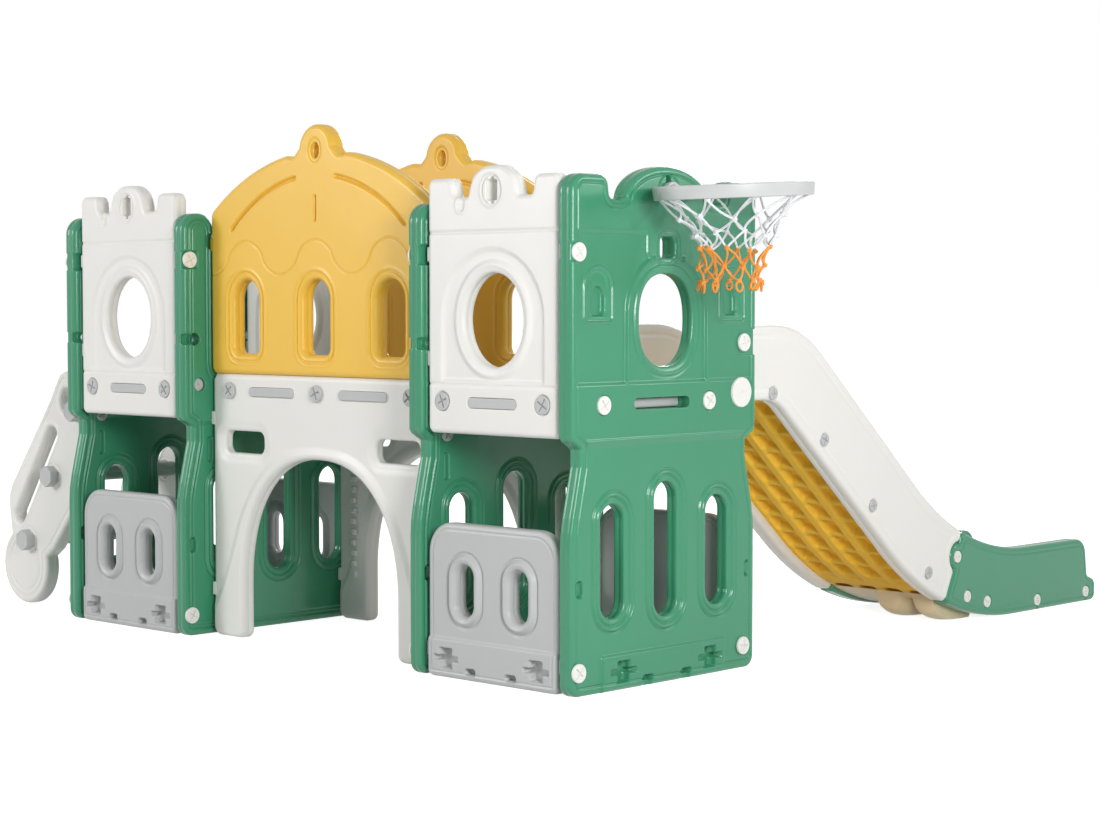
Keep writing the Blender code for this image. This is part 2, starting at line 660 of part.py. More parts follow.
def decks():
    half = TOWER_INNER / 2
    front = WINDOW_BACK + GAP
    back = TOWER_DEPTH - front
    front_face = WINDOW_RECESS + TONGUE_RECESS
    side_tongue = ((RIGHT_TOWER_X + half - TONGUE_ROOT, RIGHT_DECK_MIDDLE - SIDE_TONGUE_WIDTH / 2,
                    DECK_MIDDLE - TONGUE_THICKNESS / 2),
                   (-SIDE_TONGUE_RECESS, RIGHT_DECK_MIDDLE + SIDE_TONGUE_WIDTH / 2,
                    DECK_MIDDLE + TONGUE_THICKNESS / 2))
    deck("deck_right", RIGHT_TOWER_X - half, RIGHT_TOWER_X + half, front, RIGHT_DECK_BACK,
         [tongue_box(RIGHT_TOWER_X, WINDOW_TONGUE_WIDTH, front_face, front + TONGUE_ROOT), side_tongue])
    deck("deck_left", LEFT_TOWER_X - half, LEFT_TOWER_X + half, front, back,
         [tongue_box(LEFT_TOWER_X, WINDOW_TONGUE_WIDTH, front_face, front + TONGUE_ROOT),
          tongue_box(LEFT_TOWER_X, WINDOW_TONGUE_WIDTH, back - TONGUE_ROOT, TOWER_DEPTH - front_face)])
    front = BRIDGE_RECESS + BRIDGE_THICKNESS + GAP
    back = TOWER_DEPTH - front
    front_face = BRIDGE_RECESS + TONGUE_RECESS
    tongues = []
    for side in (-1, 1):
        x = BRIDGE_X + side * BRIDGE_TONGUE_OFFSET
        tongues.append(tongue_box(x, BRIDGE_TONGUE_WIDTH, front_face, front + TONGUE_ROOT))
        tongues.append(tongue_box(x, BRIDGE_TONGUE_WIDTH, back - TONGUE_ROOT, TOWER_DEPTH - front_face))
    deck("deck_bridge", BRIDGE_X - BRIDGE_SPAN / 2, BRIDGE_X + BRIDGE_SPAN / 2, front, back, tongues)


# Bridge

def bridge_face(front):
    middle = BRIDGE_RECESS + BRIDGE_THICKNESS / 2
    return (middle, -1) if front else (TOWER_DEPTH - middle, 1)


def arch_panel(name, front):
    half = BRIDGE_HALF
    sides = [(half, 0, FOOT_CORNER), (half, BRIDGE_SEAM, 0)]
    sides = with_tabs(sides, half, ARCH_TAB_RISES)
    opening = []
    for i in range(ARCH_STEPS + 1):
        angle = math.pi * (1 - i / ARCH_STEPS)
        x = ARCH_HALF_WIDTH * math.copysign(abs(math.cos(angle)) ** (2 / ARCH_POWER), math.cos(angle))
        z = ARCH_SPRING + (ARCH_TOP - ARCH_SPRING) * abs(math.sin(angle)) ** (2 / ARCH_POWER)
        opening.append((x, z, 0))
    leg_foot = [(ARCH_HALF_WIDTH, 0, FOOT_CORNER)]
    corners = leg_foot + sides + [(-x, z, r) for x, z, r in reversed(leg_foot + sides)] + opening
    hole_top = DECK_TOP - HAND_HOLE_DROP
    offset = BRIDGE_HALF - HAND_HOLE_INSET
    holes = [box_outline(side * offset, HAND_HOLE_WIDTH, hole_top - HAND_HOLE_HEIGHT, hole_top,
                         HAND_HOLE_CORNER) for side in (-1, 1)]
    y, out = bridge_face(front)
    mesh = slab(name, [rounded(corners)] + holes, BRIDGE_THICKNESS)
    part = add_part(name, mesh, WHITE, (BRIDGE_X, y, 0), FACING_Y)
    slots = [tongue_box(BRIDGE_X + side * BRIDGE_TONGUE_OFFSET, BRIDGE_TONGUE_WIDTH,
                        y - BRIDGE_THICKNESS, y + BRIDGE_THICKNESS, SLOT_PLAY) for side in (-1, 1)]
    combine(part, "DIFFERENCE", boxes_mesh(f"{name}_slots", slots))
    face = y + out * BRIDGE_THICKNESS / 2
    places = [((BRIDGE_X + side * (BRIDGE_HALF - BRIDGE_SCREW_INSET), face, DECK_MIDDLE), (0, out, 0))
              for side in (-1, 0, 1)]
    screws(name.replace("arch", "screw_arch"), places, GREY)


def dome_panel(name, front):
    half = BRIDGE_HALF
    radius = (half ** 2 + DOME_RISE ** 2) / (2 * DOME_RISE)
    centre_z = DOME_TOP - radius
    lobe_z = DOME_TOP + LOBE_RISE - LOBE_RADIUS
    start = math.degrees(math.acos(half / radius))
    neck = math.degrees(math.acos((LOBE_RADIUS + LOBE_NECK) / radius))
    roof = [(x, z, 0) for x, z in arc((0, centre_z), (radius, radius), start + 2, neck, 5)]
    lobe = [(x, z, 0) for x, z in arc((0, lobe_z), (LOBE_RADIUS, LOBE_RADIUS), 8, 90, 5)]
    sides = [(half, BRIDGE_SEAM + GAP, 0), (half, DOME_SHOULDER, VALLEY_CORNER)]
    sides = with_tabs(sides, half, [DECK_TOP + DOME_TAB_RISE])
    outline = rounded(mirrored(sides + roof + lobe[:-1], lobe[-1:]))
    windows = []
    for i in (-1, 0, 1):
        x = i * (BRIDGE_HALF - DOME_WINDOW_INSET)
        half_window = DOME_WINDOW_WIDTH / 2
        top = arc((x, DOME_WINDOW_TOP - half_window), (half_window, half_window), 0, 180, 6)
        foot = half_window - DOME_WINDOW_CORNER
        knee = DOME_WINDOW_BOTTOM + DOME_WINDOW_CORNER
        windows.append(top + [(x - half_window, knee), (x - foot, DOME_WINDOW_BOTTOM),
                              (x + foot, DOME_WINDOW_BOTTOM), (x + half_window, knee)])
    eye = arc((0, lobe_z), (LOBE_HOLE_WIDTH / 2, LOBE_HOLE_HEIGHT / 2), 0, 315, 7)
    y, _ = bridge_face(front)
    mesh = slab(name, [outline, eye] + windows, BRIDGE_THICKNESS)
    add_part(name, mesh, YELLOW, (BRIDGE_X, y, 0), FACING_Y)


def bridge():
    for side, front in (("front", True), ("back", False)):
        arch_panel(f"arch_{side}", front)
        dome_panel(f"dome_{side}", front)


# Slide

def slide_edges():
    """Top and bottom edges of the slide's walls, and the middle line of its bed."""
    back = TOWER_DEPTH
    run = math.tan(SLIDE_ANGLE)
    top_bend = back + SLIDE_TOP_BEND
    top_end = top_bend + (SLIDE_WALL_TOP - SLIDE_EXIT_TOP) / run
    bottom_bend = back + SLIDE_BOTTOM_BEND
    bottom_end = bottom_bend + SLIDE_WALL_BOTTOM / run
    bed_start = DECK_TOP - SLIDE_BED_THICKNESS / 2
    bed_bend = back + SLIDE_BED_BEND
    bed_end = bed_bend + (bed_start - SLIDE_BED_EXIT) / run
    nose = back + SLIDE_LENGTH
    fine = math.radians(7)
    top = rounded([(SLIDE_HEAD, SLIDE_WALL_TOP, 0), (top_bend, SLIDE_WALL_TOP, SLIDE_TOP_BEND_RADIUS),
                   (top_end, SLIDE_EXIT_TOP, SLIDE_TOP_RUNOUT_RADIUS), (nose, SLIDE_EXIT_TOP, 0)],
                  False, fine)
    bottom = rounded([(SLIDE_HEAD, SLIDE_WALL_BOTTOM, 0),
                      (bottom_bend, SLIDE_WALL_BOTTOM, SLIDE_BOTTOM_BEND_RADIUS),
                      (bottom_end, 0, SLIDE_RUNOUT_RADIUS), (nose, 0, 0)], False, fine)
    bed = rounded([(SLIDE_HEAD, bed_start, 0), (bed_bend, bed_start, SLIDE_BED_BEND_RADIUS),
                   (bed_end, SLIDE_BED_EXIT, SLIDE_RUNOUT_RADIUS),
                   (nose - SLIDE_BED_STOP, SLIDE_BED_EXIT, 0)], False, fine)
    return top, bottom, bed


def slide_wall_outlines(top, bottom):
    """Outlines of the upper wall and of the exit wall, which meet round a lobe."""
    joint = TOWER_DEPTH + SLIDE_JOINT
    play = 2 * GAP
    joint_top = joint + SLIDE_JOINT_TOP
    joint_bottom = joint - SLIDE_JOINT_LEAN + SLIDE_JOINT_BOTTOM

    def lobe(radius):
        return arc((joint, SLIDE_LOBE_HEIGHT), (radius, radius), 80, 240, 6)

    start = SLIDE_HEAD + SLIDE_HEAD_CORNER
    head = [(SLIDE_HEAD, SLIDE_WALL_BOTTOM + SLIDE_HEAD_CORNER),
            (SLIDE_HEAD, SLIDE_WALL_TOP - SLIDE_HEAD_CORNER)]
    upper = (head + between(top, start, joint_top) + lobe(SLIDE_LOBE_RADIUS)
             + between(bottom, start, joint_bottom)[::-1])
    nose = TOWER_DEPTH + SLIDE_LENGTH
    lower_top = between(top, joint_top + play, nose - NOSE_TOP_INSET - NOSE_TOP_CORNER)
    lower_bottom = between(bottom, joint_bottom + play, nose - NOSE_TOE - CHAMFER)
    corners = [(nose - NOSE_TOP_INSET, SLIDE_EXIT_TOP, NOSE_TOP_CORNER),
               (nose - NOSE_STEP[0], *NOSE_STEP[1:]), (nose, *NOSE_LIP), (nose, 0, NOSE_TOE)]
    closing = rounded([(*lower_top[-1], 0)] + corners + [(*lower_bottom[-1], 0)], False)
    lower = lower_top[:-1] + closing + lower_bottom[-2::-1] + lobe(SLIDE_LOBE_RADIUS - play)[::-1]
    return upper, lower


def slide():
    top, bottom, bed = slide_edges()
    upper, lower = slide_wall_outlines(top, bottom)
    outer = TOWER_INNER / 2 - GAP
    middle = outer - SLIDE_WALL_THICKNESS / 2
    for side, out in (("right", 1), ("left", -1)):
        x = RIGHT_TOWER_X + out * middle
        name = f"slide_wall_{side}"
        mesh = slab(name, [upper], SLIDE_WALL_THICKNESS, SLIDE_EDGE)
        wall = add_part(name, mesh, WHITE, (x, 0, 0), FACING_X)
        start = RIGHT_TOWER_X + out * (outer + CUT_MARGIN)
        bolt = [((start, TOWER_DEPTH - BOLT_INSET, BOLT_HEIGHT), (-out, 0, 0))]
        combine(wall, "DIFFERENCE", cylinders_mesh(f"{name}_bore", bolt, BOLT_BORE,
                                                   CUT_MARGIN + BOLT_BORE_DEPTH, 12))
        name = f"slide_exit_wall_{side}"
        mesh = slab(name, [lower], SLIDE_WALL_THICKNESS, SLIDE_EDGE)
        add_part(name, mesh, GREEN, (x, 0, 0), FACING_X)
    slide_beds(bed)
    slide_fasteners(bed)


def slide_beds(bed):
    joint = TOWER_DEPTH + SLIDE_JOINT - SLIDE_JOINT_LEAN
    width = TOWER_INNER - 2 * GAP - 2 * SLIDE_WALL_THICKNESS - 2 * GAP
    half = SLIDE_BED_THICKNESS / 2
    stretches = (("slide_bed_upper", bed[0][0], joint), ("slide_bed_lower", joint + GAP, bed[-1][0]))
    under = offset_path(bed, -half)
    over = offset_path(bed, half)
    for name, start, end in stretches:
        outline = between(over, start, end) + list(reversed(between(under, start, end)))
        add_part(name, slab(name, [outline], width, CHAMFER), YELLOW, (RIGHT_TOWER_X, 0, 0), FACING_X)
    start = TOWER_DEPTH + SLIDE_FOOT_START
    end = TOWER_DEPTH + SLIDE_FOOT_END
    seat = between(offset_path(bed, -half - GAP), start, end)
    foot = seat + [(end, 0), (end - SLIDE_FOOT_LENGTH, 0), (start, seat[0][1] - SLIDE_FOOT_HEEL)]
    mesh = slab("slide_foot", [foot], width, CHAMFER)
    add_part("slide_foot", mesh, BEIGE, (RIGHT_TOWER_X, 0, 0), FACING_X)


def slide_fasteners(bed):
    """Screws through the right wall into the bed's edge, and the large bolts at the slide's head."""
    outer = TOWER_INNER / 2 - GAP
    back = TOWER_DEPTH
    places = [height_on(bed, back + run) for run in SLIDE_SCREW_RUNS]
    screws("screw_slide_wall", [((RIGHT_TOWER_X + outer, y, z), (1, 0, 0)) for y, z in places], GREY,
           SMALL_SCREW_RADIUS)
    for side, out in (("right", 1), ("left", -1)):
        face = RIGHT_TOWER_X + out * (TOWER_INNER / 2 + SIDE_THICKNESS + GAP)
        point = (face, back - BOLT_INSET, BOLT_HEIGHT)
        name = f"slide_bolt_{side}"
        head = cylinders_mesh(name, [(point, (out, 0, 0))], BOLT_RADIUS, BOLT_HEAD, 24, SCREW_LEAN)
        cap = add_part(name, head, WHITE)
        start = (face + out * BOLT_HEAD / 2, *point[1:])
        length = BOLT_HEAD / 2 + SIDE_THICKNESS + BOLT_ANCHOR
        shank = cylinders_mesh(f"{name}_shank", [(start, (-out, 0, 0))], LOCK_RADIUS, length, 12)
        combine(cap, "UNION", shank)


# Ladder

def ladder_side(name, centre_y):
    """Side of the ladder, drawn in distances from the tower, so across runs towards -X."""
    foot = (LADDER_FOOT_REACH, LADDER_FOOT_RADIUS)
    crown, crown_rise, crown_bend = LADDER_CROWN
    neck, neck_drop, neck_bend = LADDER_NECK
    corners = [(GAP, DECK_TOP + LADDER_TOP_RISE, 0), (crown, DECK_TOP + crown_rise, crown_bend),
               (neck, DECK_TOP - neck_drop, neck_bend),
               (LADDER_CALF_REACH, LADDER_CALF_HEIGHT, LADDER_CALF_BEND), LADDER_ANKLE]
    corners += [(x, z, 0) for x, z in arc(foot, (LADDER_FOOT_RADIUS, LADDER_FOOT_RADIUS), 50, -195, 11)]
    corners += [LADDER_INSTEP, (GAP, DECK_TOP - LADDER_HEEL, 0)]
    slope = Vector(GRIP_END) - Vector(GRIP_START)
    angle = math.degrees(math.atan2(slope.y, slope.x))
    radius = GRIP_WIDTH / 2
    grip = arc(GRIP_END, (radius, radius), angle - 90, angle + 90, 4)
    grip += arc(GRIP_START, (radius, radius), angle + 90, angle + 270, 4)
    top_grip = arc((TOP_GRIP_PLACE[0], DECK_TOP - TOP_GRIP_PLACE[1]), (TOP_GRIP_RADIUS, TOP_GRIP_LENGTH),
                   0, 315, 7)
    outlines = [[(-x, z) for x, z in outline] for outline in (rounded(corners), grip, top_grip)]
    part = add_part(name, slab(name, outlines, LADDER_THICKNESS), WHITE, (LADDER_X, centre_y, 0), FACING_Y)
    start_y = centre_y - LADDER_THICKNESS / 2 - CUT_MARGIN
    places = [((x, start_y, z), (0, 1, 0)) for x, z in tread_places()]
    combine(part, "DIFFERENCE", cylinders_mesh(f"{name}_bar_holes", places, TREAD_BAR_RADIUS + GAP,
                                               LADDER_THICKNESS + 2 * CUT_MARGIN, 6))


def tread_places():
    return [(LADDER_X - TREAD_FIRST[0] - i * TREAD_STEP[0], TREAD_FIRST[1] + i * TREAD_STEP[1])
            for i in range(TREAD_COUNT)]


def ladder():
    near = LADDER_INSET + LADDER_THICKNESS / 2
    ladder_side("ladder_side_front", near)
    ladder_side("ladder_side_back", TOWER_DEPTH - near)
    low_y = LADDER_INSET + LADDER_THICKNESS + GAP
    for i, (x, z) in enumerate(tread_places()):
        name = f"ladder_tread_{i + 1}"
        low = (x - TREAD_WIDTH / 2, low_y, z - TREAD_THICKNESS / 2 + TREAD_LIFT)
        high = (x + TREAD_WIDTH / 2, TOWER_DEPTH - low_y, z + TREAD_THICKNESS / 2 + TREAD_LIFT)
        tread = add_part(name, boxes_mesh(name, [(low, high)]), GREY)
        start = (x, LADDER_INSET - TREAD_BAR_END, z)
        bar = cylinders_mesh(f"{name}_bar", [(start, (0, 1, 0))], TREAD_BAR_RADIUS,
                             TOWER_DEPTH - 2 * start[1], 6)
        combine(tread, "UNION", bar)


# Hoop

def turned(name, profile, steps):
    """Mesh turned round Z from a closed profile, listed down its outer side first."""
    mesh = bpy.data.meshes.new(name)
    bm = bmesh.new()
    rings = []
    for i in range(steps):
        turn = Matrix.Rotation(2 * math.pi * i / steps, 4, "Z")
        rings.append([bm.verts.new(turn @ Vector((radius, 0, z))) for radius, z in profile])
    count = len(profile)
    for i in range(steps):
        here, there = rings[i], rings[(i + 1) % steps]
        for k in range(count):
            bm.faces.new((here[k], here[(k + 1) % count], there[(k + 1) % count], there[k]))
    bmesh.ops.recalc_face_normals(bm, faces=bm.faces)
    for face in bm.faces:
        face.smooth = True
    bm.to_mesh(mesh)
    bm.free()
    mesh.set_sharp_from_angle(angle=math.radians(35))
    return mesh


def hoop():
    """Hoop that turns on its lock in the crest of the side panel. Sizes are from its axis."""
    centre = (HOOP_STANDOFF + HOOP_RADIUS, 0, 0)
    low = -HOOP_DROP
    high = low + HOOP_HEIGHT
    inner = HOOP_RADIUS - HOOP_BAND
    edge = HOOP_EDGE
    profile = [(HOOP_RADIUS - edge, high), (HOOP_RADIUS, high - edge), (HOOP_RADIUS, low + edge),
               (HOOP_RADIUS - edge, low), (inner + edge, low), (inner, low + edge), (inner, high - edge),
               (inner + edge, high)]
    ring = add_part("hoop_ring", turned("hoop_ring", profile, 32), HOOP_GREY, centre, parent=hoop_axis)
    flange = cylinders_mesh("hoop_flange", [((GAP, 0, 0), (1, 0, 0))], HOOP_FLANGE_RADIUS,
                            HOOP_FLANGE_LENGTH, 20)
    combine(ring, "UNION", flange)
    back = -SIDE_THICKNESS - LOCK_PLAY - LOCK_LUG_THICKNESS
    shaft = cylinders_mesh("hoop_lock", [((0, 0, 0), (-1, 0, 0))], LOCK_RADIUS, -back, 16)
    lock = add_part("hoop_lock", shaft, HOOP_GREY, parent=hoop_axis)
    lug = ((back, -LOCK_LUG_LENGTH / 2, -LOCK_LUG_HEIGHT / 2),
           (back + LOCK_LUG_THICKNESS, LOCK_LUG_LENGTH / 2, LOCK_LUG_HEIGHT / 2))
    combine(lock, "UNION", boxes_mesh("hoop_lug", [lug]))
    top = low - GAP
    seat = HOOP_RADIUS - (HOOP_BAND - NET_WALL) / 2
    waist = low - NET_WAIST_DROP
    bottom = waist - NET_BOTTOM_DROP
    bulge = (NET_BULGE_RADIUS, (top + waist) / 2)
    skins = (("hoop_net_upper", [(seat, top), bulge, (NET_WAIST_RADIUS, waist + GAP)], NET_WHITE),
             ("hoop_net_lower", [(NET_WAIST_RADIUS, waist), (NET_BOTTOM_RADIUS, bottom)], NET_ORANGE))
    for name, outside, material in skins:
        inside = [(radius - NET_WALL, z) for radius, z in reversed(outside)]
        add_part(name, turned(name, outside + inside, 20), material, centre, parent=hoop_axis)


def centre_on_floor():
    """Moves the whole object so that its box is centred on the origin and stands on z = 0."""
    bpy.context.view_layer.update()
    depsgraph = bpy.context.evaluated_depsgraph_get()
    corners = []
    for part in parts.objects:
        if part.type == "MESH":
            shown = part.evaluated_get(depsgraph)
            corners += [part.matrix_world @ vertex.co for vertex in shown.data.vertices]
    for axis in (0, 1):
        values = [corner[axis] for corner in corners]
        root.location[axis] = -(min(values) + max(values)) / 2
    root.location.z = -min(corner.z for corner in corners)


side_panels()
window_panels_and_gates()
decks()
bridge()
slide()
ladder()
hoop()
centre_on_floor()
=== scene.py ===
"""Looks of the castle slide: moulded panels with their relief, screws, net, slide and light.

Lengths are in metres. Every panel is drawn flat, as an outline with holes and a relief, and is then
meshed with rounded edges. Places are measured from the hoop panel's outer face and the towers' front.
"""
from contextlib import contextmanager
import math
import random

import bmesh
import bpy
import numpy as np
from mathutils import Matrix, Vector


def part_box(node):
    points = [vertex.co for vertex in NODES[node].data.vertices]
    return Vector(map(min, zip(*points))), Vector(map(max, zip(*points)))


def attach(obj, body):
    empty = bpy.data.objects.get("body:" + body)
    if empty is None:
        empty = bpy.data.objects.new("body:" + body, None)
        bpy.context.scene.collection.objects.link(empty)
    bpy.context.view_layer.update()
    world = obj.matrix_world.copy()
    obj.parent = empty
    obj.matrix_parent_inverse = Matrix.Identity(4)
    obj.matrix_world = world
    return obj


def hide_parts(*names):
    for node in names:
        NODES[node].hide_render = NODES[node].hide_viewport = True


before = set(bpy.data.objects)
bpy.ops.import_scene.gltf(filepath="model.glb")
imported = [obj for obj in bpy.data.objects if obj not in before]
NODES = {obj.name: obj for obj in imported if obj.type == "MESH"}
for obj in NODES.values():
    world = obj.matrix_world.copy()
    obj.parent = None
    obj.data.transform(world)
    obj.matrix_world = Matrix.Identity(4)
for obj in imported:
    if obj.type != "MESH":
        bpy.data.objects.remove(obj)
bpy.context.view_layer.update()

# Layout that several pieces share
SIDES = (-1, 1)
RIGHT_X, BRIDGE_X, LEFT_X = -0.204, -0.735, -1.266
DEPTH = 0.5
MIDDLE_Y = DEPTH / 2
DECK_Z, TONGUE_Z = 0.4975, 0.4965
TONGUE_OFFSET = 0.134
SCREW_SIDE, SCREW_LOW, SCREW_HIGH = 0.232, 0.042, 0.7595
KEYHOLE_Z = 0.874


# Outline helpers, in (across, up) points

def arc(centre, radii, start, end, steps):
    """Points of an ellipse from one angle to the other, in degrees."""
    points = []
    for i in range(steps + 1):
        angle = math.radians(start + (end - start) * i / steps)
        points.append((centre[0] + radii[0] * math.cos(angle), centre[1] + radii[1] * math.sin(angle)))
    return points


def half_circle(x, z, radius, start, steps):
    return arc((x, z), (radius, radius), start, start + 180, steps)


def oval(x, z, radius, high=None, steps=35):
    """Closed outline of a circle, or of an ellipse where its half height differs."""
    return arc((x, z), (radius, high or radius), 0, 360 * steps / (steps + 1), steps)


def squarish(centre, radii, power, steps=72):
    """Closed oval, squarer than an ellipse where the power is below one."""
    points = []
    for i in range(steps):
        x, z = math.cos(2 * math.pi * i / steps), math.sin(2 * math.pi * i / steps)
        points.append((centre[0] + radii[0] * math.copysign(abs(x) ** power, x),
                       centre[1] + radii[1] * math.copysign(abs(z) ** power, z)))
    return points


def unrounded(points):
    """Points as corners for rounded(), to be left as they are."""
    return [(x, z, 0) for x, z in points]


def rounded(corners, closed=True, step=math.radians(9)):
    """Outline through (across, up, radius) corners, each rounded by its radius."""
    points = []
    count = len(corners)
    for i, (x, z, radius) in enumerate(corners):
        here = Vector((x, z))
        if radius == 0 or (not closed and i in (0, count - 1)):
            points.append((x, z))
            continue
        before = (Vector(corners[i - 1][:2]) - here).normalized()
        after = (Vector(corners[(i + 1) % count][:2]) - here).normalized()
        half = before.angle(after) / 2
        reach = radius / math.tan(half)
        centre = here + (before + after).normalized() * radius / math.sin(half)
        first = here + before * reach - centre
        turn = math.pi - 2 * half
        side = 1 if before.x * after.y - before.y * after.x < 0 else -1
        pieces = max(1, math.ceil(turn / step))
        for k in range(pieces + 1):
            points.append(tuple(centre + Matrix.Rotation(side * turn * k / pieces, 2) @ first))
    return points


def mirrored(half, middle=()):
    """Closed corner list from the corners at across > 0, listed upwards, and those in the middle."""
    return half + list(middle) + [(-x, z, radius) for x, z, radius in reversed(half)]


def stadium(centre, width, bottom, top):
    """Upright slot with round ends."""
    radius = width / 2
    return (half_circle(centre, top - radius, radius, 0, 16)
            + half_circle(centre, bottom + radius, radius, 180, 16))


def lying(x, z, width, height):
    """Level slot with round ends."""
    radius = height / 2
    reach = width / 2 - radius
    return half_circle(x + reach, z, radius, -90, 10) + half_circle(x - reach, z, radius, 90, 10)


def box_outline(centre, width, bottom, top, radius):
    left, right = centre - width / 2, centre + width / 2
    return rounded([(left, bottom, radius), (right, bottom, radius),
                    (right, top, radius), (left, top, radius)])


def doorway(centre, half, bottom, top, corner=0.01, steps=18):
    """Closed outline with an arched head and a square foot."""
    spring = top - half
    foot = [(centre - half, spring, 0), (centre - half, bottom, corner),
            (centre + half, bottom, corner), (centre + half, spring, 0)]
    return half_circle(centre, spring, half, 0, steps) + rounded(foot, False)[1:-1]


def smooth_line(points, steps=6):
    """Line through points, drawn as smooth spans between them."""
    line = []
    ends = [points[0]] + list(points) + [points[-1]]
    for span in zip(ends, ends[1:], ends[2:], ends[3:]):
        for n in range(steps):
            t = n / steps
            line.append(tuple(0.5 * (2 * b + (c - a) * t + (2 * a - 5 * b + 4 * c - d) * t ** 2
                                     + (3 * b - a - 3 * c + d) * t ** 3)
                              for a, b, c, d in zip(*span)))
    return line + [points[-1]]


def smooth(value):
    """Soft step from 0 to 1."""
    value = np.clip(value, 0, 1)
    return value * value * (3 - 2 * value)


# Meshes

def built(name, verts, faces, crease=None):
    """Smooth mesh, with sharp edges where it turns by more than the crease angle, in degrees."""
    mesh = bpy.data.meshes.new(name)
    mesh.from_pydata(np.array(verts).tolist(), [], faces)
    mesh.update()
    mesh.shade_smooth()
    if crease:
        mesh.set_sharp_from_angle(angle=math.radians(crease))
    return mesh


@contextmanager
def edited(mesh):
    """A mesh opened for changes, which are written back at the end."""
    shape = bmesh.new()
    shape.from_mesh(mesh)
    yield shape
    shape.to_mesh(mesh)
    shape.free()


def edges_of(verts):
    """Edges at some corners, once each and in an order that doesn't change from run to run."""
    return list(dict.fromkeys(edge for vertex in verts for edge in vertex.link_edges))


def soften(shape, edges, width):
    """Rounds edges, and gives the new faces."""
    return bmesh.ops.bevel(shape, geom=edges, offset=width, segments=3, profile=0.5,
                           affect="EDGES")["faces"]


def add_bar(shape, segments, radius, length, matrix):
    """Adds a round or polygonal bar along Z, and gives its corners."""
    return bmesh.ops.create_cone(shape, cap_ends=True, segments=segments, radius1=radius, radius2=radius,
                                 depth=length, matrix=matrix)["verts"]


def add_blocks(mesh, boxes, bevel=0.0025):
    """Adds soft-edged boxes, given as (low, high) corners, to a mesh."""
    with edited(mesh) as shape:
        for low, high in boxes:
            size = [b - a for a, b in zip(low, high)]
            centre = [(a + b) / 2 for a, b in zip(low, high)]
            made = bmesh.ops.create_cube(shape, size=1, matrix=Matrix.Translation(centre)
                                         @ Matrix.Diagonal((*size, 1)))
            for face in soften(shape, edges_of(made["verts"]), bevel):
                face.smooth = True
    return mesh


def closed_sheet(name, top, low):
    """Closed mesh between two grids of points of one size, joined along their border."""
    rows, columns = top.shape[:2]
    total = rows * columns
    index = np.arange(total).reshape(rows, columns)
    faces = []
    for i in range(rows - 1):
        for k in range(columns - 1):
            a, b, c, d = index[i, k], index[i, k + 1], index[i + 1, k + 1], index[i + 1, k]
            faces += [(a, b, c, d), (total + d, total + c, total + b, total + a)]
    loop = [*index[0], *index[1:, -1], *index[-1, -2::-1], *index[-2:0:-1, 0]]
    faces += [(b, a, total + a, total + b) for a, b in zip(loop, loop[1:] + loop[:1])]
    return built(name, np.vstack([top.reshape(-1, 3), low.reshape(-1, 3)]), faces, 50)


# Moulded panels

RIM_RINGS = 5
SEAM_WIDTH = 0.0014
SEAM_DEPTH = 0.0007
BLOCK = 6
FAR = 1e9
TINY = 1e-14
SEAT_RADIUS, SEAT_DEPTH = 0.0185, 0.004
CROSS_HALF, CROSS_WIDTH, CROSS_ARM = 0.019, 0.034, 0.0058
PEG_WIDTH, PEG_HEIGHT = 0.029, 0.013
ALL = (slice(None), slice(None))


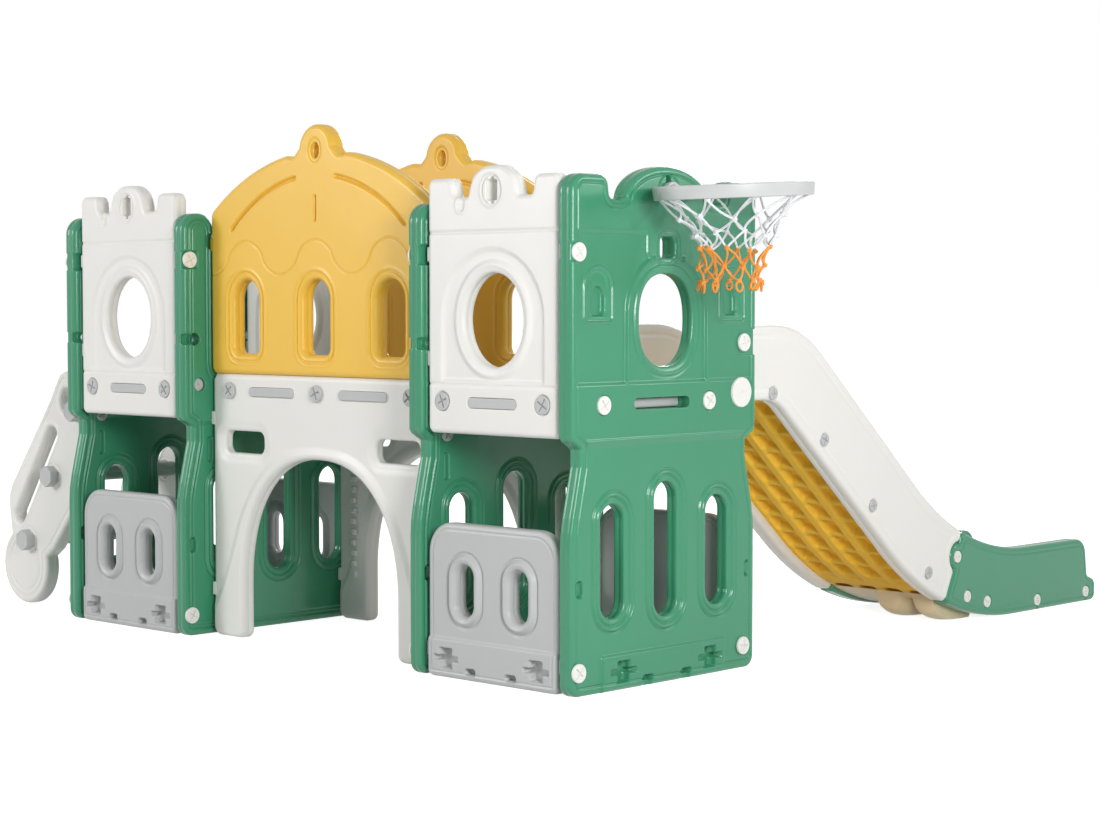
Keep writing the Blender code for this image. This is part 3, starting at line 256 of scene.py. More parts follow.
class Moulding:
    """A flat moulded piece: its outline and holes, and the relief that both its faces carry."""

    def __init__(self, outlines, thickness, rim, cell=0.0016, tight=(), tight_rim=0.0018):
        self.loops = [np.array(loop) for loop in outlines]
        self.tight = [np.array(loop) for loop in tight]
        self.half = thickness / 2
        self.cell, self.rim, self.tight_rim = cell, rim, tight_rim
        outer = self.loops[0]
        low, high = outer.min(0) - 2 * cell, outer.max(0) + 2 * cell
        self.across = np.arange(low[0], high[0] + cell, cell)
        self.up = np.arange(low[1], high[1] + cell, cell)
        self.x, self.z = np.meshgrid(self.across, self.up, indexing="ij")
        depth = self.signed(self.loops)
        self.outer = self.signed(self.loops[:1]) if len(self.loops) > 1 else depth
        self.level = depth - rim
        if self.tight:
            self.level = np.minimum(self.level, -self.signed(self.tight) - tight_rim)
        self.relief = np.zeros_like(self.x)

    def near(self, points, margin):
        """Part of the grid that lies within a margin of some points."""
        low, high = np.min(points, axis=0) - margin, np.max(points, axis=0) + margin
        return (slice(*np.searchsorted(self.across, (low[0], high[0]))),
                slice(*np.searchsorted(self.up, (low[1], high[1]))))

    def distance(self, points, closed=False, part=ALL):
        """Distance of each grid point to a line of points."""
        x, z = self.x[part], self.z[part]
        best = np.full(x.shape, FAR)
        ends = np.roll(points, -1, axis=0) if closed else np.array(points)[1:]
        for (x0, z0), (x1, z1) in zip(points, ends):
            dx, dz = x1 - x0, z1 - z0
            length = dx * dx + dz * dz
            if length < TINY:
                continue
            t = np.clip(((x - x0) * dx + (z - z0) * dz) / length, 0, 1)
            np.minimum(best, (x - x0 - t * dx) ** 2 + (z - z0 - t * dz) ** 2, out=best)
        return np.sqrt(best)

    def signed(self, loops, part=ALL):
        """Distance to the loops' edges, positive where an odd number of loops goes round."""
        x, z = self.x[part], self.z[part]
        best = np.full(x.shape, FAR)
        inside = np.zeros(x.shape, bool)
        for loop in loops:
            loop = np.array(loop)
            best = np.minimum(best, self.distance(loop, True, part))
            for (x0, z0), (x1, z1) in zip(loop, np.roll(loop, -1, axis=0)):
                if z0 == z1:
                    continue
                crosses = (z0 > z) != (z1 > z)
                inside ^= crosses & (x < x0 + (z - z0) * (x1 - x0) / (z1 - z0))
        return np.where(inside, best, -best)

    def swell(self, part, away, width, height):
        """Raises a round bead, or presses a groove where the height is negative, along distance zero."""
        reach = np.clip(away / (width / 2), 0, 1)
        self.relief[part] += height * (np.cos(np.pi * reach) + 1) / 2

    def bead(self, points, width, height):
        """Bead or groove along a line."""
        part = self.near(points, width)
        self.swell(part, self.distance(points, False, part), width, height)

    def contour(self, inset, width, height):
        """Bead or groove at a distance inside the outer edge."""
        self.swell(ALL, np.abs(self.outer - inset), width, height)

    def around(self, loop, *rings):
        """Beads or grooves round a hole, each given as its distance, width and height."""
        for offset, width, height in rings:
            part = self.near(loop, offset + width)
            self.swell(part, np.abs(-self.signed([loop], part) - offset), width, height)

    def area(self, loop, height, blend):
        """Raises or lowers what lies inside a loop, with a soft edge inside it."""
        part = self.near(loop, 0)
        self.relief[part] += height * smooth(self.signed([loop], part) / blend)

    def pocket(self, loops, depth, blend=0.002):
        """Sinks one pocket of a given depth inside any of the loops."""
        part = self.near(np.vstack(loops), 0)
        share = np.max([smooth(self.signed([loop], part) / blend) for loop in loops], axis=0)
        self.relief[part] = np.minimum(self.relief[part], self.relief[part] * (1 - share) - depth * share)

    def screw_seats(self, places, radius=SEAT_RADIUS):
        """Shallow round pockets that the screws' heads lie in."""
        for x, z in places:
            self.pocket([oval(x, z, radius)], SEAT_DEPTH, 0.001)

    def foot_marks(self, crosses, cross_z, reach, pegs, peg_z, depth):
        """Cross-shaped pockets and peg holes near a panel's foot."""
        for x in crosses:
            self.pocket([box_outline(x, CROSS_WIDTH, cross_z - CROSS_HALF, cross_z + CROSS_HALF, 0.003),
                         box_outline(x, 2 * reach, cross_z - CROSS_ARM, cross_z + CROSS_ARM, 0.002)],
                        depth, 0.0018)
        for x in pegs:
            self.pocket([lying(x, peg_z, PEG_WIDTH, PEG_HEIGHT)], depth - 0.0003)

    def nearest(self, points):
        """Nearest point, for each given point, on the outline whose rim it borders."""
        best = np.full(len(points), FAR)
        found = np.array(points)
        rims = [self.rim] * len(self.loops) + [self.tight_rim] * len(self.tight)
        for loop, rim in zip(self.loops + self.tight, rims):
            for a, b in zip(loop, np.roll(loop, -1, axis=0)):
                along = b - a
                length = along @ along
                if length < TINY:
                    continue
                t = np.clip(((points - a) @ along) / length, 0, 1)
                foot = a + t[:, None] * along
                away = np.sqrt(((points - foot) ** 2).sum(1)) - rim
                closer = away < best
                best[closer] = away[closer]
                found[closer] = foot[closer]
        return found

    def mesh(self, name):
        """Closed mesh with a cap on each side, rounded rims and a straight wall between them."""
        level, cell = self.level.copy(), self.cell
        gx, gz = np.gradient(level, cell)
        steep = np.maximum(np.hypot(gx, gz), 0.3)
        near = np.abs(level) < 0.25 * cell
        x = np.where(near, self.x - level * gx / steep ** 2, self.x)
        z = np.where(near, self.z - level * gz / steep ** 2, self.z)
        level[near] = 0
        inside = level >= 0
        cells = inside[:-1, :-1].astype(int) + inside[1:, :-1] + inside[1:, 1:] + inside[:-1, 1:]
        coarse = self.flat_blocks(inside)
        numbers = {}
        points = []

        def corner(i, k):
            if (i, k) not in numbers:
                numbers[(i, k)] = len(points)
                points.append((x[i, k], z[i, k], self.relief[i, k]))
            return numbers[(i, k)]

        def crossing(a, b):
            """Point on the level line between an inside corner a and an outside corner b."""
            if level[a] == 0:
                return corner(*a)
            if (a, b) not in numbers:
                t = level[a] / (level[a] - level[b])
                numbers[(a, b)] = len(points)
                points.append(tuple(p[a] + t * (p[b] - p[a]) for p in (x, z, self.relief)))
            return numbers[(a, b)]

        faces = [self.block_face(bi, bk, coarse, corner) for bi, bk in zip(*np.nonzero(coarse))]
        fine = np.ones(cells.shape, bool)
        for bi, bk in zip(*np.nonzero(coarse)):
            fine[bi * BLOCK:(bi + 1) * BLOCK, bk * BLOCK:(bk + 1) * BLOCK] = False
        for i, k in zip(*np.nonzero(fine & (cells > 0))):
            around = [(i, k), (i + 1, k), (i + 1, k + 1), (i, k + 1)]
            if cells[i, k] == 4:
                faces.append([corner(*p) for p in around])
                continue
            face = []
            for a, b in zip(around, around[1:] + around[:1]):
                if inside[a]:
                    face.append(corner(*a))
                if inside[a] != inside[b]:
                    face.append(crossing(a, b) if inside[a] else crossing(b, a))
            face = [v for n, v in enumerate(face) if v != face[n - 1]]
            if len(face) > 2 and len(set(face)) == len(face):
                faces.append(face)
        return self.close(name, np.array(points), faces)

    def flat_blocks(self, inside):
        """Blocks of cells that lie well inside and carry no relief, so that one face does for each."""
        nx, nz = (inside.shape[0] - 1) // BLOCK, (inside.shape[1] - 1) // BLOCK
        coarse = np.zeros((nx, nz), bool)
        for bi in range(nx):
            for bk in range(nz):
                i, k = bi * BLOCK, bk * BLOCK
                part = np.s_[max(i - 1, 0):i + BLOCK + 2, max(k - 1, 0):k + BLOCK + 2]
                coarse[bi, bk] = self.level[part].min() > self.cell and np.ptp(self.relief[part]) < 1e-7
        return coarse

    @staticmethod
    def block_face(bi, bk, coarse, corner):
        """One face round a flat block, with every grid point on the sides that meet small cells."""
        def is_coarse(i, k):
            return 0 <= i < coarse.shape[0] and 0 <= k < coarse.shape[1] and coarse[i, k]

        i, k = bi * BLOCK, bk * BLOCK
        sides = [((i, k), (1, 0), (bi, bk - 1)), ((i + BLOCK, k), (0, 1), (bi + 1, bk)),
                 ((i + BLOCK, k + BLOCK), (-1, 0), (bi, bk + 1)), ((i, k + BLOCK), (0, -1), (bi - 1, bk))]
        face = []
        for (a, b), (da, db), other in sides:
            steps = 1 if is_coarse(*other) else BLOCK
            face += [corner(a + da * n, b + db * n) for n in range(steps)]
        return face

    def close(self, name, points, faces):
        """Adds the rounded rims, the wall with its seam and the other side to a cap."""
        edges = {(a, b) for face in faces for a, b in zip(face, face[1:] + face[:1])}
        border = sorted((a, b) for a, b in edges if (b, a) not in edges)
        rim = sorted({v for edge in border for v in edge})
        order = {v: n for n, v in enumerate(rim)}
        flat, height = points[rim][:, :2], points[rim, 2]
        foot = self.nearest(flat)
        radius = np.sqrt(((foot - flat) ** 2).sum(1))
        count, rim_count = len(points), len(rim)
        verts = [np.column_stack([points[:, :2], self.half + points[:, 2]])]
        for n in range(1, RIM_RINGS + 1):
            angle = math.pi / 2 * n / RIM_RINGS
            fallen = self.half - radius * (1 - math.cos(angle)) + height * math.cos(angle)
            verts.append(np.column_stack([flat + (foot - flat) * math.sin(angle), fallen]))
        inward = (flat - foot) / np.maximum(radius, 1e-6)[:, None]
        verts.append(np.column_stack([foot, np.full(rim_count, SEAM_WIDTH)]))
        verts.append(np.column_stack([foot + inward * SEAM_DEPTH, np.full(rim_count, SEAM_WIDTH / 4)]))
        rings = len(verts) - 1
        one_side = np.vstack(verts)
        total = len(one_side)

        def chain(v):
            return [v] + [count + n * rim_count + order[v] for n in range(rings)]

        walls = []
        for a, b in border:
            chain_a, chain_b = chain(a), chain(b)
            for n in range(rings):
                faces.append([chain_b[n], chain_a[n], chain_a[n + 1], chain_b[n + 1]])
            walls.append([chain_b[-1], chain_a[-1], chain_a[-1] + total, chain_b[-1] + total])
        other = [[v + total for v in reversed(face)] for face in faces]
        return built(name, np.vstack([one_side, one_side * (1, 1, -1)]), faces + other + walls)


FACING_X = Matrix(((0, 0, 1, 0), (1, 0, 0, 0), (0, 1, 0, 0), (0, 0, 0, 1)))
FACING_Y = Matrix(((1, 0, 0, 0), (0, 0, -1, 0), (0, 1, 0, 0), (0, 0, 0, 1)))
FACING_BACK = Matrix.Rotation(math.pi, 4, "Z") @ FACING_Y
FACING_LEFT = Matrix.Rotation(math.pi, 4, "Z") @ FACING_X
CORNER_LOW, CORNER_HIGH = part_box("panel_hoop_side")


def spot(x, y, z):
    """Place of a point measured from the hoop panel's outer face and the towers' front."""
    return Matrix.Translation((CORNER_HIGH.x + x, CORNER_LOW.y + y, z))


def faced(side, x, inset, z=0):
    """Place of a piece at the towers' front or back, facing outwards, at an inset from there."""
    if side == "front":
        return spot(x, inset, z) @ FACING_Y
    return spot(x, DEPTH - inset, z) @ FACING_BACK


def add(name, data, matrix, material, replaces=(), body="root"):
    """Adds a piece that rides on a body and stands for the CAD nodes it replaces."""
    piece = bpy.data.objects.new(name, data)
    bpy.context.scene.collection.objects.link(piece)
    piece.matrix_world = matrix
    if not data.materials:
        data.materials.append(material)
    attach(piece, body)
    if replaces:
        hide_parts(*replaces)


# Materials

def fill(tree, shader, inputs):
    """Sets a shader's inputs: a number or colour directly, and an output by a link."""
    for name, value in inputs.items():
        if isinstance(value, bpy.types.NodeSocket):
            tree.links.new(value, shader.inputs[name])
        else:
            shader.inputs[name].default_value = value


def new_node(tree, kind, inputs=None):
    made = tree.nodes.new(kind)
    fill(tree, made, inputs or {})
    return made


def plastic(name, colour, roughness=0.42, tint=0.03, specular=0.42):
    """Moulded plastic with a fine grain, faint flow marks and a little colour variation."""
    material = bpy.data.materials.new(name)
    material["slot"] = name
    material.use_nodes = True
    tree = material.node_tree
    place = new_node(tree, "ShaderNodeTexCoord").outputs["Object"]

    def noise(scale, detail):
        return new_node(tree, "ShaderNodeTexNoise",
                        {"Scale": scale, "Detail": detail, "Vector": place}).outputs["Fac"]

    colours = tree.nodes.new("ShaderNodeMix")
    colours.data_type = "RGBA"
    fill(tree, colours, {"A": (*[c * (1 - tint) for c in colour], 1),
                         "B": (*[min(1, c * (1 + tint)) for c in colour], 1),
                         "Factor": noise(5.0, 4.0)})
    gloss = new_node(tree, "ShaderNodeMapRange", {"To Min": roughness - 0.06, "To Max": roughness + 0.08,
                                                  "Value": noise(38.0, 6.0)})
    skin = new_node(tree, "ShaderNodeBump", {"Strength": 0.35, "Distance": 0.0002,
                                             "Height": noise(650.0, 2.0)})
    flow = new_node(tree, "ShaderNodeBump", {"Strength": 0.5, "Distance": 0.0025, "Height": noise(9.0, 1.0),
                                             "Normal": skin.outputs["Normal"]})
    fill(tree, tree.nodes["Principled BSDF"],
         {"Specular IOR Level": specular, "Base Color": colours.outputs["Result"],
          "Roughness": gloss.outputs["Result"], "Normal": flow.outputs["Normal"]})
    return material


def cord(name, colour):
    """Twisted yarn: fine slanted ridges and a dull sheen."""
    material = plastic(name, colour, 0.62, tint=0.06)
    tree = material.node_tree
    twist = new_node(tree, "ShaderNodeTexWave",
                     {"Scale": 420.0, "Distortion": 1.5,
                      "Vector": new_node(tree, "ShaderNodeTexCoord").outputs["Object"]})
    twist.wave_type = "BANDS"
    twist.bands_direction = "DIAGONAL"
    yarn = new_node(tree, "ShaderNodeBump", {"Strength": 0.8, "Distance": 0.0004,
                                             "Height": twist.outputs["Fac"]})
    fill(tree, tree.nodes["Principled BSDF"], {"Sheen Weight": 0.25, "Normal": yarn.outputs["Normal"]})
    return material


GREEN = plastic("green_plastic", (0.045, 0.27, 0.145), 0.22)
WHITE = plastic("white_plastic", (0.81, 0.8, 0.765), 0.36, tint=0.012)
YELLOW = plastic("yellow_plastic", (0.86, 0.52, 0.06), 0.34)
GREY = plastic("grey_plastic", (0.5, 0.51, 0.508), 0.38, tint=0.02)
# The slide bed is the same yellow plastic, written brighter than YELLOW: painted light that stands in for
# light on the slide's underside; its duller, less glossy finish is its own.
BED_PAINTED_LIGHT = plastic("bed_plastic_painted_light", (0.97, 0.59, 0.06), 0.55, specular=0.16)
BED_PAINTED_LIGHT["slot"] = "yellow_plastic"
HOOP_GREY = plastic("hoop_plastic", (0.52, 0.532, 0.53), 0.34, tint=0.02)
BEIGE = plastic("beige_plastic", (0.8, 0.66, 0.43), 0.42)
CORD_WHITE = cord("white_cord", (0.88, 0.9, 0.93))
CORD_ORANGE = cord("orange_cord", (1.0, 0.34, 0.03))


# Side panels

SIDE_HALF = 0.25
SIDE_THICKNESS = 0.036
SIDE_CORNERS = [(SIDE_HALF, 0, 0.022), (SIDE_HALF, 0.28, 0.25), (0.224, 0.394, 0.008),
                (0.224, 0.424, 0.008), (SIDE_HALF, 0.44, 0.012)]
SIDE_SLOTS = [stadium(-0.1415, 0.06, 0.126, 0.325), stadium(0, 0.06, 0.118, 0.357),
              stadium(0.1415, 0.06, 0.126, 0.325)]


def side_relief(panel):
    """Relief that all the side panels share: rim line, waist, ringed slots and peg holes."""
    panel.contour(0.0145, 0.006, -0.0032)
    panel.relief -= 0.0035 * smooth((0.434 - panel.z) / 0.009)
    panel.bead([(-0.214, 0.4365), (0.214, 0.4365)], 0.008, 0.0019)
    for slot in SIDE_SLOTS:
        panel.around(slot, (0.012, 0.0058, -0.0034), (0.0178, 0.01, 0.0022), (0.024, 0.0058, -0.003))
    for side in SIDES:
        panel.pocket([stadium(side * 0.227, 0.016, 0.168, 0.2)], 0.0165)


def hoop_side():
    merlon = [(SIDE_HALF, 0.893, 0.032), (0.158, 0.893, 0.02), (0.152, 0.852, 0.012),
              (0.1225, 0.852, 0.006)]
    crest = unrounded(arc((0, 0.852), (0.112, 0.061), 4, 90, 24))
    outline = rounded(mirrored(SIDE_CORNERS + merlon + crest[:-1], crest[-1:]))
    window = squarish((0, 0.643), (0.071, 0.082), 0.84)
    peep = box_outline(0, 0.037, 0.753, 0.788, 0.008)
    eye, notch = 0.0125, 0.0065
    turn = math.degrees(math.acos(notch / eye))
    keyhole = (arc((0, KEYHOLE_Z), (eye, eye), -turn, turn, 12) + [(notch, 0.898), (-notch, 0.898)]
               + arc((0, KEYHOLE_Z), (eye, eye), 180 - turn, 180 + turn, 12)
               + [(-notch, 0.849), (notch, 0.849)])
    tongue = lying(-0.0155, DECK_Z, 0.149, 0.02)
    panel = Moulding([outline, window, peep] + SIDE_SLOTS, SIDE_THICKNESS, 0.009, tight=[keyhole, tongue])
    side_relief(panel)
    panel.area(box_outline(-0.006, 0.337, -0.05, 0.066, 0.008), 0.0058, 0.005)
    panel.foot_marks((-0.119, 0.116), 0.033, 0.034, (-0.055, 0.049), 0.0145, 0.0168)
    field = [(0.237, 0.531, 0.006), (0.237, 0.799, 0.006), (0.052, 0.799, 0.008), (0.052, 0.752, 0.01)]
    panel.area(rounded(mirrored(field)), -0.0042, 0.0065)
    for side in SIDES:
        rib = [(0.1075, 0.537)] + arc((0, 0.655), (0.1075, 0.103), 0, 68, 24)
        panel.bead([(side * x, z) for x, z in rib], 0.0125, 0.007)
        panel.around(doorway(side * 0.181, 0.036, 0.639, 0.736), (0.0, 0.007, 0.004))
        panel.area(doorway(side * 0.181, 0.026, 0.648, 0.729), -0.002, 0.004)
        panel.pocket([doorway(side * 0.179, 0.018, 0.651, 0.702)], 0.015)
    panel.around(window, (0.013, 0.008, 0.0026), (0.0185, 0.006, -0.0012))
    panel.around(peep, (0.012, 0.005, -0.0018))
    panel.around(oval(0, KEYHOLE_Z, 0.025), (0.0, 0.0044, -0.0036))
    panel.pocket([box_outline(0.232, 0.062, 0.577, 0.626, 0.004)], 0.007)
    panel.screw_seats(((-SCREW_SIDE, SCREW_LOW), (0.214, SCREW_LOW), (-SCREW_SIDE, SCREW_HIGH),
                       (-0.169, DECK_Z), (0.114, DECK_Z)))
    add("hoop_side_panel", panel.mesh("hoop_side"), spot(-SIDE_THICKNESS / 2, MIDDLE_Y, 0) @ FACING_X, GREEN,
        ["panel_hoop_side"])


def passage_panels():
    posts = [(SIDE_HALF, 0.853, 0.036), (0.17, 0.853, 0.036), (0.17, 0.52, 0.035)]
    holes = [oval(side * 0.21, 0.508, 0.0135, steps=23) for side in SIDES]
    holes += [oval(side * 0.222, 0.6, 0.0125, steps=23) for side in SIDES]
    panel = Moulding([rounded(mirrored(SIDE_CORNERS + posts))] + SIDE_SLOTS, SIDE_THICKNESS, 0.0095,
                     tight=holes)
    side_relief(panel)
    panel.contour(0.0225, 0.006, -0.0018)
    for side in SIDES:
        panel.pocket([box_outline(side * 0.236, 0.046, 0.741, 0.778, 0.004)], 0.008)
        panel.pocket([lying(side * 0.243, 0.6, 0.05, 0.023)], 0.013)
        panel.pocket([oval(side * 0.178, 0.797, 0.016, steps=23)], 0.014)
        panel.screw_seats(((side * SCREW_SIDE, SCREW_LOW), (side * SCREW_SIDE, SCREW_HIGH)))
    panel.pocket([stadium(-0.182, 0.013, 0.349, 0.402)], 0.014)
    mesh = panel.mesh("passage_side")
    for name, x in (("right_inner", -0.39), ("left_inner", -1.08), ("left_outer", -1.452)):
        add(f"passage_{name}", mesh, spot(x, MIDDLE_Y, 0) @ FACING_X, GREEN, [f"panel_{name}"])


# White window panels and grey gates

WINDOW_HALF = 0.162
TAB_HEIGHT = 0.027
TAB_PROUD, TAB_ROOT = 0.0055, 0.008


def tab_boxes(half, bottoms, thickness):
    """Tabs at both sides of a panel, as (low, high) corners."""
    boxes = []
    for bottom in bottoms:
        for side in SIDES:
            low, high = sorted((side * (half - TAB_ROOT), side * (half + TAB_PROUD)))
            deep = thickness / 2 - 0.004
            boxes.append(((low, bottom, -deep), (high, bottom + TAB_HEIGHT, deep)))
    return boxes


def windows():
    thickness = 0.034
    side = [(WINDOW_HALF, 0.44, 0.012), (WINDOW_HALF, 0.895, 0.014), (0.103, 0.895, 0.012),
            (0.097, 0.86, 0.01)]
    crest = [(0.062, 0.86, 0.006), (0.051, 0.896, 0.032), (0.024, 0.914, 0.045)]
    window = oval(0, 0.643, 0.073, 0.083, 71)
    peep = rounded(mirrored([(0.0045, 0.846, 0.002), (0.006, 0.852, 0.001), (0.014, 0.853, 0.003),
                             (0.014, 0.888, 0.003), (0.006, 0.889, 0.001), (0.0045, 0.895, 0.002)]))
    tongue = lying(0, TONGUE_Z, 0.122, 0.0195)
    panel = Moulding([rounded(mirrored(side + crest)), window], thickness, 0.0095, tight=[peep, tongue])
    panel.area(doorway(0, 0.13, 0.529, 0.773), -0.0056, 0.011)
    panel.around(window, (0.014, 0.026, 0.0056))
    panel.bead([(-0.154, 0.798), (0.154, 0.798)], 0.01, -0.003)
    panel.bead([(-0.154, 0.528), (0.154, 0.528)], 0.009, -0.0026)
    panel.around(oval(0, 0.87, 0.0255, 0.0285), (0.002, 0.005, 0.0016), (-0.002, 0.0045, -0.0024))
    dimple = oval(-0.077, 0.846, 0.01, 0.012, 23)
    panel.pocket([dimple], 0.0034)
    panel.around(dimple, (0.003, 0.005, 0.0014))
    panel.screw_seats(((-0.1237, DECK_Z), (0.1237, DECK_Z)))
    mesh = add_blocks(panel.mesh("window"), tab_boxes(WINDOW_HALF, (0.747, 0.56), thickness))
    for tower, x, side in (("right", RIGHT_X, "front"), ("left", LEFT_X, "front"), ("left", LEFT_X, "back")):
        add(f"castle_window_{tower}_{side}", mesh, faced(side, x, 0.028), WHITE, [f"window_{tower}_{side}"])


def gates():
    thickness = 0.03
    outline = rounded(mirrored([(WINDOW_HALF, 0, 0.012), (WINDOW_HALF, 0.28, 0.055)]))
    holes = [stadium(side * 0.067, 0.044, 0.114, 0.207) for side in SIDES]
    panel = Moulding([outline] + holes, thickness, 0.009)
    panel.contour(0.012, 0.005, -0.002)
    panel.relief -= 0.002
    for hole in holes:
        panel.around(hole, (0.011, 0.016, 0.006), (0.021, 0.008, -0.0034))
    panel.area(box_outline(0, 0.4, -0.05, 0.074, 0.004), 0.0052, 0.006)
    panel.foot_marks((-0.1116, 0.1116), 0.036, 0.031, (-0.05, 0.05), 0.017, 0.0137)
    mesh = add_blocks(panel.mesh("gate"), tab_boxes(WINDOW_HALF, (0.036,), thickness))
    for tower, x in (("right", RIGHT_X), ("left", LEFT_X)):
        for side in ("front", "back"):
            add(f"crawl_gate_{tower}_{side}", mesh, faced(side, x, 0.024), GREY, [f"gate_{tower}_{side}"])


# Bridge

BRIDGE_HALF = 0.321
BRIDGE_INSET = 0.081
BRIDGE_THICKNESS = 0.036
ARCH_HALF, ARCH_SPRING, ARCH_RISE = 0.2265, 0.11, 0.259


def arches():
    opening = []
    for i in range(49):
        angle = math.pi * (1 - i / 48)
        x = ARCH_HALF * math.copysign(abs(math.cos(angle)) ** 0.88, math.cos(angle))
        opening.append((x, ARCH_SPRING + ARCH_RISE * abs(math.sin(angle)) ** 0.92))
    sides = [(ARCH_HALF, 0, 0.014), (BRIDGE_HALF, 0, 0.02), (BRIDGE_HALF, 0.531, 0.003)]
    holes = [box_outline(side * 0.225, 0.12, 0.372, 0.417, 0.016) for side in SIDES]
    slots = [lying(side * TONGUE_OFFSET, TONGUE_Z, 0.138, 0.0195) for side in SIDES]
    panel = Moulding([rounded(mirrored(sides) + unrounded(opening))] + holes, BRIDGE_THICKNESS, 0.011,
                     tight=slots)
    band = smooth_line([(0, 0.396), (0.085, 0.388), (0.15, 0.358), (0.2, 0.31), (0.238, 0.25),
                        (0.262, 0.19), (0.286, 0.13), (0.312, 0.08), (0.345, 0.04)])
    band = band + [(0.345, -0.08), (-0.345, -0.08)] + [(-x, z) for x, z in band[:0:-1]]
    panel.area(band, 0.0042, 0.018)
    panel.relief -= 0.0042
    for hole in holes:
        panel.around(hole, (0.0, 0.05, -0.004))
    panel.screw_seats([(x, DECK_Z) for x in (-0.2645, 0, 0.2645)])
    mesh = add_blocks(panel.mesh("arch"), tab_boxes(BRIDGE_HALF, (0.08, 0.427), BRIDGE_THICKNESS))
    studs = []
    wide, high = 0.008, 0.0065
    for side in SIDES:
        for row in range(11):
            z = 0.098 + 0.0225 * row
            x = side * (0.268 + 0.002 * (row % 2))
            studs.append(((x - wide, z - high, -0.0215), (x + wide, z + high, -0.012)))
    studded = add_blocks(mesh.copy(), studs, 0.003)
    for side, data in (("front", mesh), ("back", studded)):
        add(f"crawl_arch_{side}", data, faced(side, BRIDGE_X, BRIDGE_INSET), WHITE, [f"arch_{side}"])


def domes():
    rise, top = 0.113, 0.967
    eye_z = 0.966
    window_pitch = 0.2105
    radius = (BRIDGE_HALF ** 2 + rise ** 2) / (2 * rise)
    start = math.degrees(math.acos(BRIDGE_HALF / radius)) + 1.5
    neck = math.degrees(math.acos(0.09 / radius))
    roof = unrounded(arc((0, top - radius), (radius, radius), start, neck, 30))
    lobe = unrounded(arc((0, eye_z), (0.05, 0.05), 8, 90, 20))
    sides = [(BRIDGE_HALF, 0.5313, 0.003), (BRIDGE_HALF, 0.854, 0.012)] + roof + [(0.066, 0.956, 0.016)]
    outline = rounded(mirrored(sides + lobe[:-1], lobe[-1:]))
    openings = [doorway(x, 0.039, 0.572, 0.718, 0.016, 24) for x in (-window_pitch, 0, window_pitch)]
    eye = oval(0, eye_z, 0.0125, 0.0165, 23)
    panel = Moulding([outline] + openings, BRIDGE_THICKNESS, 0.0105, tight=[eye])
    wave = []
    for i in range(121):
        x = -0.318 + 0.0053 * i
        turn = math.cos(2 * math.pi * x / window_pitch)
        wave.append((x, 0.7616 + 0.0331 * math.copysign(abs(turn) ** 0.62, turn)))
    panel.bead(wave, 0.0046, -0.0022)
    for opening in openings:
        panel.around(opening, (0.0145, 0.006, -0.003), (0.0205, 0.008, 0.0012))
    groove = arc((0, 0.5514), (0.368, 0.368), 46.6, 80.7, 24)
    for side in SIDES:
        panel.bead([(side * x, z) for x, z in groove], 0.0115, -0.0075)
    panel.bead([(0, 0.833), (0, 0.877)], 0.0105, -0.007)
    panel.area(oval(0, eye_z, 0.0215, 0.026), -0.0026, 0.005)
    mesh = add_blocks(panel.mesh("dome"), tab_boxes(BRIDGE_HALF, (0.777,), BRIDGE_THICKNESS))
    for side in ("front", "back"):
        add(f"bridge_dome_{side}", mesh, faced(side, BRIDGE_X, BRIDGE_INSET), YELLOW, [f"dome_{side}"])


# Slide

SLIDE_WIDTH = 0.3354
WALL_THICKNESS = 0.04
BED_WIDTH = SLIDE_WIDTH - 2 * WALL_THICKNESS - 0.0006
BED_THICKNESS = 0.036
WAFFLE_COLUMNS, WAFFLE_PITCH, WAFFLE_DEPTH = 4, 0.0566, 0.019
SLOPE = math.tan(math.radians(40.5))
LOBE_Y, LOBE_Z = 1.23, 0.142
FOOT_REACH = (1.19, 1.34)
FOOT_LOBES = (0.01, 0.104)


def slide_path(start, head, drop, bend, end, foot_bend):
    """Side view of a line of the slide: level from its start, down the slope and level to its end."""
    low = head[1] - drop
    return rounded([(start, head[1], 0), (*head, bend), (head[0] + drop / SLOPE, low, foot_bend),
                    (end, low, 0)], False, math.radians(2))


SLIDE_TOP = slide_path(0.424, (0.687, 0.632), 0.49, 0.23, 1.787, 0.65)
SLIDE_UNDER = slide_path(0.424, (0.612, 0.49), 0.49, 0.09, 1.787, 0.7)
SLIDE_BED = slide_path(0.424, (0.65, 0.502), 0.48, 0.1, 1.757, 0.7)


def between(path, start, end):
    """The stretch of a path from one across value to another."""
    return ([height_on(path, start)] + [point for point in path if start < point[0] < end]
            + [height_on(path, end)])


def height_on(path, across):
    """Point of a path at an across value."""
    for (x0, z0), (x1, z1) in zip(path, path[1:]):
        if x0 <= across <= x1:
            return (across, z0 + (z1 - z0) * (across - x0) / (x1 - x0))
    return (across, path[0][1] if across < path[0][0] else path[-1][1])


WALL_SCREWS = [height_on(SLIDE_BED, 0.5 + run) for run in (0.098, 0.261, 0.423, 0.62)]
EXIT_SCREWS = ((1.226, LOBE_Z), (1.264, 0.055), (1.34, 0.037), (1.54, 0.022), (1.744, 0.022))


def lobe(radius):
    """Round joint between an upper wall and its exit wall."""
    return arc((LOBE_Y, LOBE_Z), (radius, radius), 80, 240, 20)


